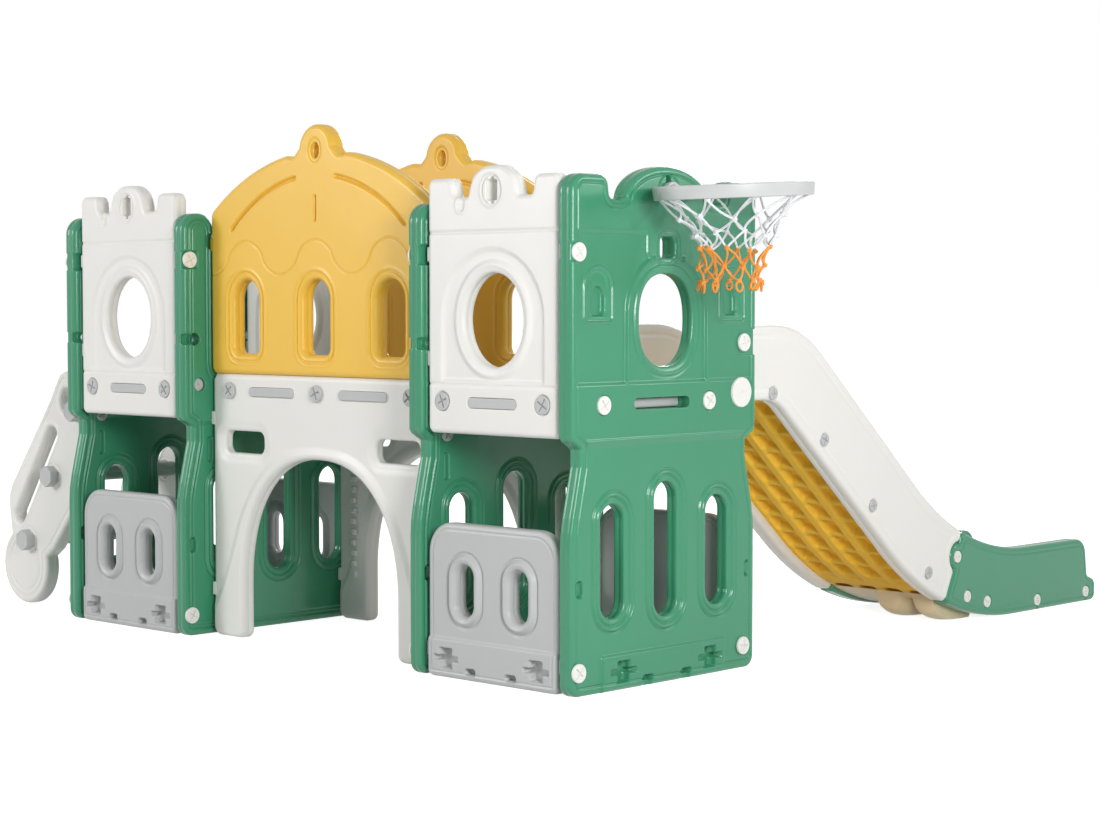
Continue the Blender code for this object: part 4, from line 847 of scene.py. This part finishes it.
def slide_walls():
    head = (0.02, 0.02)
    upper = (arc((0.444, 0.51), head, 268, 180, 8) + arc((0.444, 0.612), head, 180, 92, 8)
             + between(SLIDE_TOP, 0.445, 1.242) + lobe(0.03) + between(SLIDE_UNDER, 0.445, 1.183)[::-1])
    nose = rounded([(1.7, 0.142, 0), (1.742, 0.142, 0.035), (1.753, 0.058, 0.012), (1.787, 0.046, 0.016),
                    (1.787, 0, 0.015), (1.76, 0, 0)], False)
    lower = (between(SLIDE_TOP, 1.2426, 1.7)[:-1] + nose + between(SLIDE_UNDER, 1.1836, 1.76)[-2::-1]
             + lobe(0.0294)[::-1])
    meshes = []
    for outline, inset, width, seats in ((upper, 0.021, 0.011, WALL_SCREWS),
                                         (lower, 0.0135, 0.006, EXIT_SCREWS)):
        wall = Moulding([outline], WALL_THICKNESS, 0.0085, cell=0.0022)
        wall.contour(inset, width, -0.0016)
        wall.screw_seats(seats, 0.0142)
        meshes.append(wall.mesh("slide_wall"))
    for side, out in (("right", 1), ("left", -1)):
        matrix = spot(RIGHT_X + out * (SLIDE_WIDTH - WALL_THICKNESS) / 2, 0, 0) @ FACING_X
        add(f"chute_wall_{side}", meshes[0], matrix, WHITE, [f"slide_wall_{side}"])
        add(f"chute_exit_{side}", meshes[1], matrix, GREEN, [f"slide_exit_wall_{side}"])


def along(path, start, end, step):
    """Evenly spaced points of a path between two across values, with their directions and runs."""
    line = np.array(between(path, start, end))
    lengths = np.concatenate([[0], np.cumsum(np.hypot(*np.diff(line, axis=0).T))])
    runs = np.linspace(0, lengths[-1], max(2, int(lengths[-1] / step)))
    points = np.column_stack([np.interp(runs, lengths, line[:, k]) for k in (0, 1)])
    slope = np.gradient(points, axis=0)
    slope /= np.hypot(*slope.T)[:, None]
    return points, slope, runs


def waffle(run, across):
    """Depth of the pockets pressed into the bed's underside, between ribs along and across it."""
    column = 1 - np.abs((across / (BED_WIDTH / WAFFLE_COLUMNS)) % 1 - 0.5) * 2
    row = 1 - np.abs((run / WAFFLE_PITCH) % 1 - 0.5) * 2
    return WAFFLE_DEPTH * smooth((column - 0.26) / 0.26) * (0.22 + 0.78 * smooth((row - 0.15) / 0.34))


def bed_mesh(name, start, end):
    """Closed sheet along the bed: smooth with upturned edges above, waffled underneath."""
    step, half = 0.0028, BED_THICKNESS / 2
    points, slope, runs = along(SLIDE_BED, start, end, step)
    across = np.linspace(-BED_WIDTH / 2, BED_WIDTH / 2, int(BED_WIDTH / step) | 1)
    run, side = np.meshgrid(runs, across, indexing="ij")
    edge = smooth((np.minimum(run - runs[0], runs[-1] - run) - 0.012) / 0.03)
    top = half - 0.0045 + 0.0045 * smooth((np.abs(side) - BED_WIDTH / 2 + 0.028) / 0.026)
    top -= 0.001 * smooth(1 - np.abs(np.abs(side) - 0.055) / 0.006)
    under = half - waffle(run, side) * edge
    return closed_sheet(name, *[np.stack([side, points[:, :1] - slope[:, 1:] * height,
                                          points[:, 1:] + slope[:, :1] * height], axis=-1)
                                for height in (top, -under)])


def foot_mesh():
    """Closed foot under the bed that bulges into two rounded lobes on the floor."""
    start, end = FOOT_REACH
    depth, side = np.meshgrid(np.linspace(start, end, 61), np.linspace(-BED_WIDTH / 2, BED_WIDTH / 2, 97),
                              indexing="ij")
    bed = np.array(between(SLIDE_BED, 1.15, 1.4))
    top = np.interp(depth, bed[:, 0], bed[:, 1]) - 0.0195
    bulge = np.zeros(side.shape)
    for middle in FOOT_LOBES:
        reach = np.hypot(np.abs(side - middle) / 0.054, (depth - 1.3) / 0.125)
        bulge = np.maximum(bulge, np.sqrt(np.clip(1 - reach ** 2.4, 0, 1)))
    rim = smooth(np.minimum(depth - start, end - depth) / 0.012)
    low = np.minimum(top - 0.002 * rim - 0.0004, top - np.maximum(top, 0) * bulge * rim)
    low = np.clip(low, 0, None)
    top = np.maximum(top, low + 0.0003)
    return closed_sheet("chute_foot", *[np.stack([side, depth, z], axis=-1) for z in (top, low)])


def slide_bed():
    place = spot(RIGHT_X, 0, 0)
    for name, start, end in (("upper", 0.424, 1.165), ("lower", 1.1653, 1.757)):
        add(f"chute_{name}", bed_mesh(f"chute_{name}", start, end), place, BED_PAINTED_LIGHT, [f"slide_bed_{name}"])
    add("chute_foot", foot_mesh(), place, BEIGE, ["slide_foot"])


# Ladder

LADDER_X = -1.47
TREAD_X = LADDER_X - 0.262
TREAD_RUN, TREAD_RISE = 0.094, 0.147
RAIL_FOOT = (0.2797, 0.0867)


def ladder():
    corners = [(0.0003, 0.521, 0.004), (0.14, 0.524, 0.04), (0.184, 0.455, 0.08), (0.349, 0.245, 0.07),
               (0.336, 0.16, 0.012)]
    corners += unrounded(arc(RAIL_FOOT, (0.0867, 0.0867), 50, -195, 60))
    corners += [(0.168, 0.128, 0.02), (0.0003, 0.326, 0.004)]
    angle = math.degrees(math.atan2(0.184, -0.125))
    grip = (half_circle(0.173, 0.382, 0.0185, angle - 90, 14)
            + half_circle(0.298, 0.198, 0.0185, angle + 90, 14))
    top_grip = oval(0.115, 0.458, 0.02, 0.028)
    outlines = [[(-x, z) for x, z in outline] for outline in (rounded(corners), grip, top_grip)]
    rail = Moulding(outlines, 0.035, 0.0088)
    rail.contour(0.0165, 0.008, -0.0014)
    for hole in outlines[1:]:
        rail.around(hole, (0.0085, 0.012, 0.0016))
    for turn in range(3):
        seat = oval(TREAD_X - LADDER_X + turn * TREAD_RUN, 0.144 + turn * TREAD_RISE, 0.027, steps=29)
        rail.around(seat, (0.0, 0.006, -0.0016))
    rail.around(oval(-0.28, 0.087, 0.058), (0.0, 0.012, -0.0016))
    mesh = rail.mesh("ladder_rail")
    for side, y in (("front", 0.0975), ("back", 0.4025)):
        add(f"ladder_rail_{side}", mesh, spot(LADDER_X, y, 0) @ FACING_Y, WHITE, [f"ladder_side_{side}"])
    step = Moulding([box_outline(0, 0.095, -0.1347, 0.1347, 0.006)], 0.032, 0.007)
    for i in range(-3, 4):
        step.bead([(i * 0.0105, -0.118), (i * 0.0105, 0.118)], 0.007, 0.0014)
    step_mesh = step.mesh("step")
    for side in SIDES:
        add_hexagon(step_mesh, (0, side * 0.162, -0.004), side)
    for turn in range(3):
        place = spot(TREAD_X + turn * TREAD_RUN, MIDDLE_Y, 0.148 + turn * TREAD_RISE)
        add(f"ladder_step_{turn + 1}", step_mesh, place, GREY, [f"ladder_tread_{turn + 1}"])


def add_hexagon(mesh, centre, side):
    """Hexagonal bar end with a softened rim and a socket in its face."""
    with edited(mesh) as shape:
        turn = Matrix.Rotation(-side * math.pi / 2, 4, "X")
        verts = add_bar(shape, 6, 0.0235, 0.058, Matrix.Translation(centre) @ turn)
        outer = max(verts, key=lambda v: side * v.co.y).co.y
        cap = [face for vertex in verts for face in vertex.link_faces
               if all(abs(v.co.y - outer) < 1e-5 for v in face.verts)][0]
        bmesh.ops.inset_region(shape, faces=[cap], thickness=0.005)
        for vertex in cap.verts:
            vertex.co.y -= side * 0.001
        soften(shape, edges_of(verts), 0.0013)


# Decks

STUD_PITCH = 0.045
STUD_REACH = 0.009


def decks():
    for name, x, y, wide, deep, sides, offsets, half, reach in (
            ("right", RIGHT_X, 0.2345, 0.3354, 0.3784, (-1,), (0,), 0.0565, 0.0243),
            ("left", LEFT_X, MIDDLE_Y, 0.3354, 0.4094, SIDES, (0,), 0.0565, 0.0243),
            ("bridge", BRIDGE_X, MIDDLE_Y, 0.6534, 0.3014, SIDES, (-TONGUE_OFFSET, TONGUE_OFFSET), 0.0645,
             0.0265)):
        board = Moulding([box_outline(0, wide, -deep / 2, deep / 2, 0.003)], 0.045, 0.006, cell=0.003)
        rows, columns = int(deep / STUD_PITCH), int(wide / STUD_PITCH)
        for row in range(rows):
            for column in range(columns):
                px = (column - (columns - 1) / 2) * STUD_PITCH
                py = (row - (rows - 1) / 2) * STUD_PITCH
                slant = STUD_REACH if (row + column) % 2 else -STUD_REACH
                board.bead([(px - STUD_REACH, py - slant), (px + STUD_REACH, py + slant)], 0.01, 0.0014)
        boxes = []
        for side in sides:
            for offset in offsets:
                low, high = sorted((side * (deep / 2 - 0.008), side * (deep / 2 + reach)))
                boxes.append(((offset - half, low, -0.007), (offset + half, high, 0.007)))
        if name == "right":
            boxes.append(((wide / 2 - 0.008, -0.0715, -0.009), (wide / 2 + 0.013, 0.0715, 0.009)))
        mesh = add_blocks(board.mesh(f"deck_{name}"), boxes, 0.004)
        add(f"platform_{name}", mesh, spot(x, y, DECK_Z), GREY, [f"deck_{name}"])


def tongue_tips():
    """Ends of the decks' tongues, flush in the slots of the white panels."""
    short = (("front", RIGHT_X), ("front", LEFT_X), ("back", LEFT_X))
    long = [(side, BRIDGE_X + offset) for side in ("front", "back")
            for offset in (-TONGUE_OFFSET, TONGUE_OFFSET)]
    for name, half, inset, places in (("short", 0.0598, 0.0198, short), ("long", 0.068, 0.0718, long)):
        tip = Moulding([box_outline(0, 2 * half, -0.0091, 0.0091, 0.0065)], 0.016, 0.0012, cell=0.0012)
        mesh = tip.mesh(f"tongue_{name}")
        for number, (side, x) in enumerate(places, 1):
            add(f"tongue_{name}_{number}", mesh, faced(side, x, inset, TONGUE_Z), GREY)


# Screws and bolts

HEAD_RADIUS, SMALL_HEAD_RADIUS = 0.0165, 0.0125
HEAD_SPOKES = 144


def head_mesh(name, radius, height, arm, arm_half, groove):
    """Round head on z = 0 with a soft rim and a pressed cross."""
    edge = min(0.0018, height * 0.6)
    flat = np.linspace(0, radius - edge, 34)[1:]
    turn = np.linspace(0, math.pi / 2, 6)[1:]
    radii = np.concatenate([flat, radius - edge + edge * np.sin(turn)])
    drop = np.concatenate([np.zeros(len(flat)), edge * (1 - np.cos(turn))])
    count = HEAD_SPOKES
    spokes = np.linspace(0, 2 * math.pi, count, endpoint=False)
    r, angle = np.meshgrid(radii, spokes, indexing="ij")
    x, y = r * np.cos(angle), r * np.sin(angle)

    def bar(u, v):
        return smooth((arm_half - np.abs(u)) / 0.0005 + 0.5) * smooth((arm - np.abs(v)) / 0.001 + 0.5)

    ring = smooth(1 - np.abs(np.hypot(x, y) - radius * 0.8) / 0.0011)
    z = height - drop[:, None] - (groove * np.maximum(bar(x, y), bar(y, x)) + groove * 0.2 * ring)
    rings = [np.column_stack([x[n], y[n], z[n]]) for n in range(len(radii))]
    rings.append(np.column_stack([x[-1], y[-1], np.zeros(count)]))
    faces = [(0, 1 + k, 1 + (k + 1) % count) for k in range(count)]
    for n in range(len(rings) - 1):
        for k in range(count):
            a, b = 1 + n * count + k, 1 + n * count + (k + 1) % count
            faces.append((a, a + count, b + count, b))
    last = 1 + (len(rings) - 1) * count
    faces.append(tuple(last + k for k in reversed(range(count))))
    return built(name, np.vstack([[[0, 0, height - groove]]] + rings), faces, 60)


def turned_head(data, twist):
    """Copy of a head with its cross turned at random, as a screw comes to rest."""
    head = data.copy()
    head.transform(Matrix.Rotation(math.radians(twist.uniform(-45, 45)), 4, "Z"))
    return head


def screws():
    """Screws that stand for the CAD ones, and those that only show: passages, exit and left wall."""
    twist = random.Random(5)
    white = head_mesh("white_head", HEAD_RADIUS, 0.005, 0.012, 0.0014, 0.0036)
    grey = head_mesh("grey_head", HEAD_RADIUS, 0.005, 0.012, 0.0016, 0.0036)
    small = head_mesh("small_head", SMALL_HEAD_RADIUS, 0.0042, 0.0092, 0.0012, 0.003)
    for node in sorted(NODES):
        if not node.startswith("screw_"):
            continue
        words = node.split("_")
        if words[1] == "hoop":
            data, material, way = white, WHITE, FACING_X
        elif words[1] == "slide":
            data, material, way = small, GREY, FACING_X
        else:
            data, material, way = grey, GREY, FACING_Y if words[-2] == "front" else FACING_BACK
        low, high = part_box(node)
        centre = (low + high) / 2 - way.to_3x3() @ Vector((0, 0, 0.0058))
        add(node.replace("screw", "bolt_head"), turned_head(data, twist), Matrix.Translation(centre) @ way,
            material, [node])
    extra = []
    for x, way in ((-1.062, FACING_X), (-0.408, FACING_LEFT), (-1.47, FACING_LEFT)):
        for y in (MIDDLE_Y - SCREW_SIDE, MIDDLE_Y + SCREW_SIDE):
            for z in (SCREW_HIGH, SCREW_LOW):
                extra.append((white, WHITE, x, y, z, way, 0.0046))
    for out, way in ((1, FACING_X), (-1, FACING_LEFT)):
        for y, z in EXIT_SCREWS:
            extra.append((small, WHITE, RIGHT_X + out * SLIDE_WIDTH / 2, y, z, way, 0.0034))
    for y, z in WALL_SCREWS:
        extra.append((small, GREY, RIGHT_X - SLIDE_WIDTH / 2, y, z, FACING_LEFT, 0.0034))
    for x in (-0.372, -1.434):
        extra.append((small, GREY, x, 0.066, 0.4335, FACING_X, 0.001))
    for number, (data, material, x, y, z, way, sunk) in enumerate(extra, 1):
        inward = way.to_3x3() @ Vector((0, 0, -sunk))
        matrix = Matrix.Translation(spot(x, y, z).translation + inward) @ way
        add(f"extra_head_{number}", turned_head(data, twist), matrix, material)
    cap = head_mesh("bolt_cap", 0.0275, 0.0052, 0.0055, 0.0009, 0.0016)
    add("bolt_cap_right", cap, spot(0.0001, 0.452, 0.51) @ FACING_X, WHITE, ["slide_bolt_right"])
    add("bolt_cap_left", cap, spot(-0.4081, 0.452, 0.51) @ FACING_LEFT, WHITE, ["slide_bolt_left"])
    plug = head_mesh("post_plug", 0.013, 0.006, 0.006, 0.0012, 0.002)
    add("post_plug", plug, spot(-1.074, 0.04, 0.508) @ FACING_X, GREY)


# Hoop and net

HOOP_X = 0.145
HOOP_LEAN = math.radians(3.2)
HOOK_RADIUS = 0.1308
NET_CORDS = 10
NET_LEVELS = ((0.13, 0.856), (0.093, 0.819), (0.074, 0.793), (0.063, 0.766), (0.053, 0.736),
              (0.056, 0.708))
WAIST_LEVEL = 3
NET_BOTTOM = 0.6895


def lathe(name, profile, steps=128):
    """Closed ring turned from a closed (radius, up) profile."""
    verts = []
    for i in range(steps):
        angle = 2 * math.pi * i / steps
        verts += [(radius * math.cos(angle), radius * math.sin(angle), z) for radius, z in profile]
    count = len(profile)
    faces = []
    for i in range(steps):
        here, there = i * count, (i + 1) % steps * count
        faces += [(here + k, there + k, there + (k + 1) % count, here + (k + 1) % count)
                  for k in range(count)]
    return built(name, verts, faces, 40)


def hoop():
    profile = rounded([(0.1395, 0.877, 0.003), (0.1375, 0.8535, 0.002), (0.1345, 0.8535, 0.001),
                       (0.1338, 0.868, 0.002), (0.129, 0.87, 0.002), (0.127, 0.8545, 0.001),
                       (0.1245, 0.8545, 0.001), (0.1245, 0.877, 0.003)], step=math.radians(20))
    ring = lathe("rim", profile)
    turn = Matrix.Rotation(math.pi / 2, 4, "Y")
    with edited(ring) as shape:
        for radius, depth, x in ((0.0195, 0.0112, -0.1387), (0.015, 0.016, -0.134)):
            verts = add_bar(shape, 64, radius, depth, Matrix.Translation((x, 0, 0.8665)) @ turn)
            soften(shape, [edge for edge in edges_of(verts)
                           if abs(edge.verts[0].co.x - edge.verts[1].co.x) < 1e-6], 0.0018)
    hooks = []
    for i in range(NET_CORDS):
        angle = 2 * math.pi * i / NET_CORDS
        x, y = HOOK_RADIUS * math.cos(angle), HOOK_RADIUS * math.sin(angle)
        hooks.append(((x - 0.0016, y - 0.0016, 0.8535), (x + 0.0016, y + 0.0016, 0.87)))
    add_blocks(ring, hooks, 0.0008)
    axis = Matrix.Translation((0, 0, KEYHOLE_Z))
    lean = Matrix.Rotation(HOOP_LEAN, 4, "X")
    add("basket_rim", ring, spot(HOOP_X, MIDDLE_Y, 0) @ (axis @ lean @ axis.inverted()), HOOP_GREY,
        ["hoop_ring"], "hoop")
    lock = bpy.data.meshes.new("lock")
    with edited(lock) as shape:
        add_bar(shape, 48, 0.0098, 0.046, Matrix.Translation((-0.023, 0, 0)) @ turn)
    lock.shade_smooth()
    lock.set_sharp_from_angle(angle=math.radians(40))
    add_blocks(lock, [((-0.046, -0.023, -0.0045), (-0.038, 0.023, 0.0045))], 0.0018)
    add("basket_lock", lock, spot(0, MIDDLE_Y, KEYHOLE_Z) @ lean, HOOP_GREY, ["hoop_lock"], "hoop")


class Cords:
    """Round cords collected as splines of one curve."""

    def __init__(self, name, radius):
        self.curve = bpy.data.curves.new(name, "CURVE")
        self.curve.dimensions = "3D"
        self.curve.bevel_depth = radius
        self.curve.bevel_resolution = 3

    def line(self, points, closed=False):
        spline = self.curve.splines.new("POLY")
        spline.points.add(len(points) - 1)
        for point, place in zip(spline.points, points):
            point.co = (*place, 1)
        spline.use_cyclic_u = closed
        spline.use_smooth = True

    def coil(self, centre, axis, radius, turns=2, pitch=0.0022):
        """Few turns of cord wound round an axis, as in a knot."""
        axis = Vector(axis).normalized()
        side = axis.orthogonal().normalized()
        other = axis.cross(side)
        points = []
        for i in range(turns * 12 + 1):
            angle = 2 * math.pi * i / 12
            lift = (i / 12 - turns / 2) * pitch
            points.append(Vector(centre) + side * radius * math.cos(angle) + other * radius * math.sin(angle)
                          + axis * lift)
        self.line(points)


def sagging(start, end, sag, chance, steps=12):
    """Slack cord between two points, drawn towards the axis and a little astray."""
    start, end = Vector(start), Vector(end)
    sway = Vector((chance.uniform(-1, 1), chance.uniform(-1, 1), 0)) * 0.005
    points = []
    for i in range(steps + 1):
        t = i / steps
        bow = 4 * t * (1 - t)
        middle = start.lerp(end, t)
        inward = Vector((-middle.x, -middle.y, 0)).normalized()
        wave = math.sin(2 * math.pi * t) * 0.0022
        points.append(middle + inward * sag * bow + sway * bow + Vector((wave, -wave, -0.0015 * bow)))
    return points


def knot_place(level, i):
    """Place of a knot of the net, a little out of line below the ring."""
    radius, z = NET_LEVELS[level]
    angle = 2 * math.pi * (i + 0.5 * (level % 2)) / NET_CORDS
    if level:
        spread = random.Random(97 * level + i % NET_CORDS)
        loose = 1 + 0.8 * (level > WAIST_LEVEL)
        radius += spread.uniform(-0.005, 0.004) * loose
        z += spread.uniform(-0.006, 0.006)
        angle += spread.uniform(-0.13, 0.13) * loose
    z += math.tan(HOOP_LEAN) * radius * math.sin(angle) * (1 - level / len(NET_LEVELS))
    return Vector((radius * math.cos(angle), radius * math.sin(angle), z))


def net():
    chance = random.Random(11)
    white, orange = Cords("net_white", 0.0021), Cords("net_orange", 0.0019)
    last = len(NET_LEVELS) - 1
    for level in range(last):
        cords = white if level < WAIST_LEVEL else orange
        for i in range(NET_CORDS):
            here = knot_place(level, i)
            for k in ((i, i - 1) if level % 2 == 0 else (i, i + 1)):
                there = knot_place(level + 1, k % NET_CORDS)
                apart = Vector((chance.uniform(-1, 1), chance.uniform(-1, 1), 0)) * 0.0012
                cords.line(sagging(here + apart, there, 0.006, chance))
            if level:
                down = (there - here).normalized()
                for n in range(2):
                    tilt = Vector((chance.uniform(-0.5, 0.5), chance.uniform(-0.5, 0.5),
                                   chance.uniform(-1, 0)))
                    cords.coil(here + down * 0.001 * n, down + tilt, 0.0024)
            else:
                cords.coil(here + Vector((0, 0, 0.003)), (0, 0, 1), 0.003, 3)
    for i in range(NET_CORDS):
        here = knot_place(last, i)
        orange.coil(here, (0, 0, 1), 0.0026, 3)
        size = chance.uniform(0.007, 0.011)
        lean = chance.uniform(-0.4, 0.4)
        out = Vector((here.x, here.y, 0)).normalized()
        across = Vector((-out.y, out.x, 0))
        points = []
        for n in range(24):
            angle = 2 * math.pi * n / 24
            fall = (math.cos(angle) - 1) * size * 0.85
            points.append(here + across * math.sin(angle) * size * 0.55
                          + Vector((0, 0, max(fall, NET_BOTTOM - here.z))) + out * lean * fall)
        orange.line(points, True)
    for name, cords, material, node in (("net_white", white, CORD_WHITE, "hoop_net_upper"),
                                        ("net_orange", orange, CORD_ORANGE, "hoop_net_lower")):
        add(name, cords.curve, spot(HOOP_X, MIDDLE_Y, 0), material, [node], "hoop")


hoop_side()
passage_panels()
windows()
gates()
arches()
domes()
slide_walls()
slide_bed()
ladder()
decks()
tongue_tips()
screws()
hoop()
net()


# Camera, floor and light

CAMERA_PLACE = (2.6454, -2.8484, 0.67496)
CAMERA_YAW, CAMERA_PITCH = -0.75812, 0.04775
CAMERA_LENS = 75.39
FLOOR_REACH = 40
FLOOR_GLOW = 0.86
LAMPS = (("key", (3.2, -2.1, 1.15), (0.4, -0.2, 0.5), 0.9, 61),
         ("slide", (3.0, 1.7, 1.5), (0.7, 0.5, 0.3), 0.8, 17),
         ("back", (-2.2, 3.8, 2.4), (0, 0.2, 0.4), 1.3, 52),
         ("fill", (-2.4, -3.9, 1.7), (0, 0, 0.5), 1.3, 62))


def placed(name, data, place, toward):
    """Camera or lamp that looks in a direction."""
    thing = bpy.data.objects.new(name, data)
    bpy.context.scene.collection.objects.link(thing)
    thing.location = place
    thing.rotation_euler = toward.to_track_quat("-Z", "Y").to_euler()
    return thing


def showing(tree):
    """Output that is one for the rays that see the background: from the camera, gloss and glass."""
    rays = tree.nodes.new("ShaderNodeLightPath")
    value = rays.outputs["Is Camera Ray"]
    for name in ("Is Glossy Ray", "Is Transmission Ray"):
        either = tree.nodes.new("ShaderNodeMath")
        either.operation = "MAXIMUM"
        tree.links.new(value, either.inputs[0])
        tree.links.new(rays.outputs[name], either.inputs[1])
        value = either.outputs["Value"]
    return value


def studio():
    scene = bpy.context.scene
    scene.view_settings.view_transform = "Standard"
    camera = bpy.data.cameras.new("camera")
    camera.sensor_width = 36
    camera.lens = CAMERA_LENS
    camera.clip_end = 50
    level = math.cos(CAMERA_PITCH)
    toward = Vector((math.sin(CAMERA_YAW) * level, math.cos(CAMERA_YAW) * level, -math.sin(CAMERA_PITCH)))
    scene.camera = placed("camera", camera, spot(*CAMERA_PLACE).translation, toward)

    floor_mesh = bpy.data.meshes.new("floor")
    corners = ((-FLOOR_REACH, -FLOOR_REACH, 0), (FLOOR_REACH, -FLOOR_REACH, 0),
               (FLOOR_REACH, FLOOR_REACH, 0), (-FLOOR_REACH, FLOOR_REACH, 0))
    floor_mesh.from_pydata(corners, [], [(0, 1, 2, 3)])
    floor = bpy.data.objects.new("floor", floor_mesh)
    scene.collection.objects.link(floor)
    paper = bpy.data.materials.new("paper")
    paper.use_nodes = True
    tree = paper.node_tree
    glow = tree.nodes.new("ShaderNodeMath")
    glow.operation = "MULTIPLY"
    glow.inputs[1].default_value = FLOOR_GLOW
    tree.links.new(showing(tree), glow.inputs[0])
    fill(tree, tree.nodes["Principled BSDF"],
         {"Base Color": (0.74, 0.74, 0.74, 1), "Roughness": 0.9, "Specular IOR Level": 0.0,
          "Emission Strength": glow.outputs["Value"], "Emission Color": (1, 1, 1, 1)})
    floor_mesh.materials.append(paper)

    world = bpy.data.worlds.new("studio")
    scene.world = world
    world.use_nodes = True
    tree = world.node_tree
    tree.nodes.clear()
    place = new_node(tree, "ShaderNodeTexCoord").outputs["Generated"]
    up = new_node(tree, "ShaderNodeSeparateXYZ", {"Vector": place}).outputs["Z"]
    sky = new_node(tree, "ShaderNodeMapRange", {"From Min": -0.1, "From Max": 0.8, "To Min": 0.1,
                                                "To Max": 0.5, "Value": up})
    soft = new_node(tree, "ShaderNodeBackground", {"Color": (1, 1, 1, 1), "Strength": sky.outputs["Result"]})
    seen = new_node(tree, "ShaderNodeBackground", {"Color": (1, 1, 1, 1), "Strength": 1.0})
    mix = new_node(tree, "ShaderNodeMixShader", {"Fac": showing(tree)})
    tree.links.new(soft.outputs["Background"], mix.inputs[1])
    tree.links.new(seen.outputs["Background"], mix.inputs[2])
    new_node(tree, "ShaderNodeOutputWorld", {"Surface": mix.outputs["Shader"]})
    for name, lamp_place, aim, size, power in LAMPS:
        light = bpy.data.lights.new(name, "AREA")
        light.shape = "DISK"
        light.size = size
        light.energy = power
        placed(name, light, lamp_place, Vector(aim) - Vector(lamp_place))


studio()
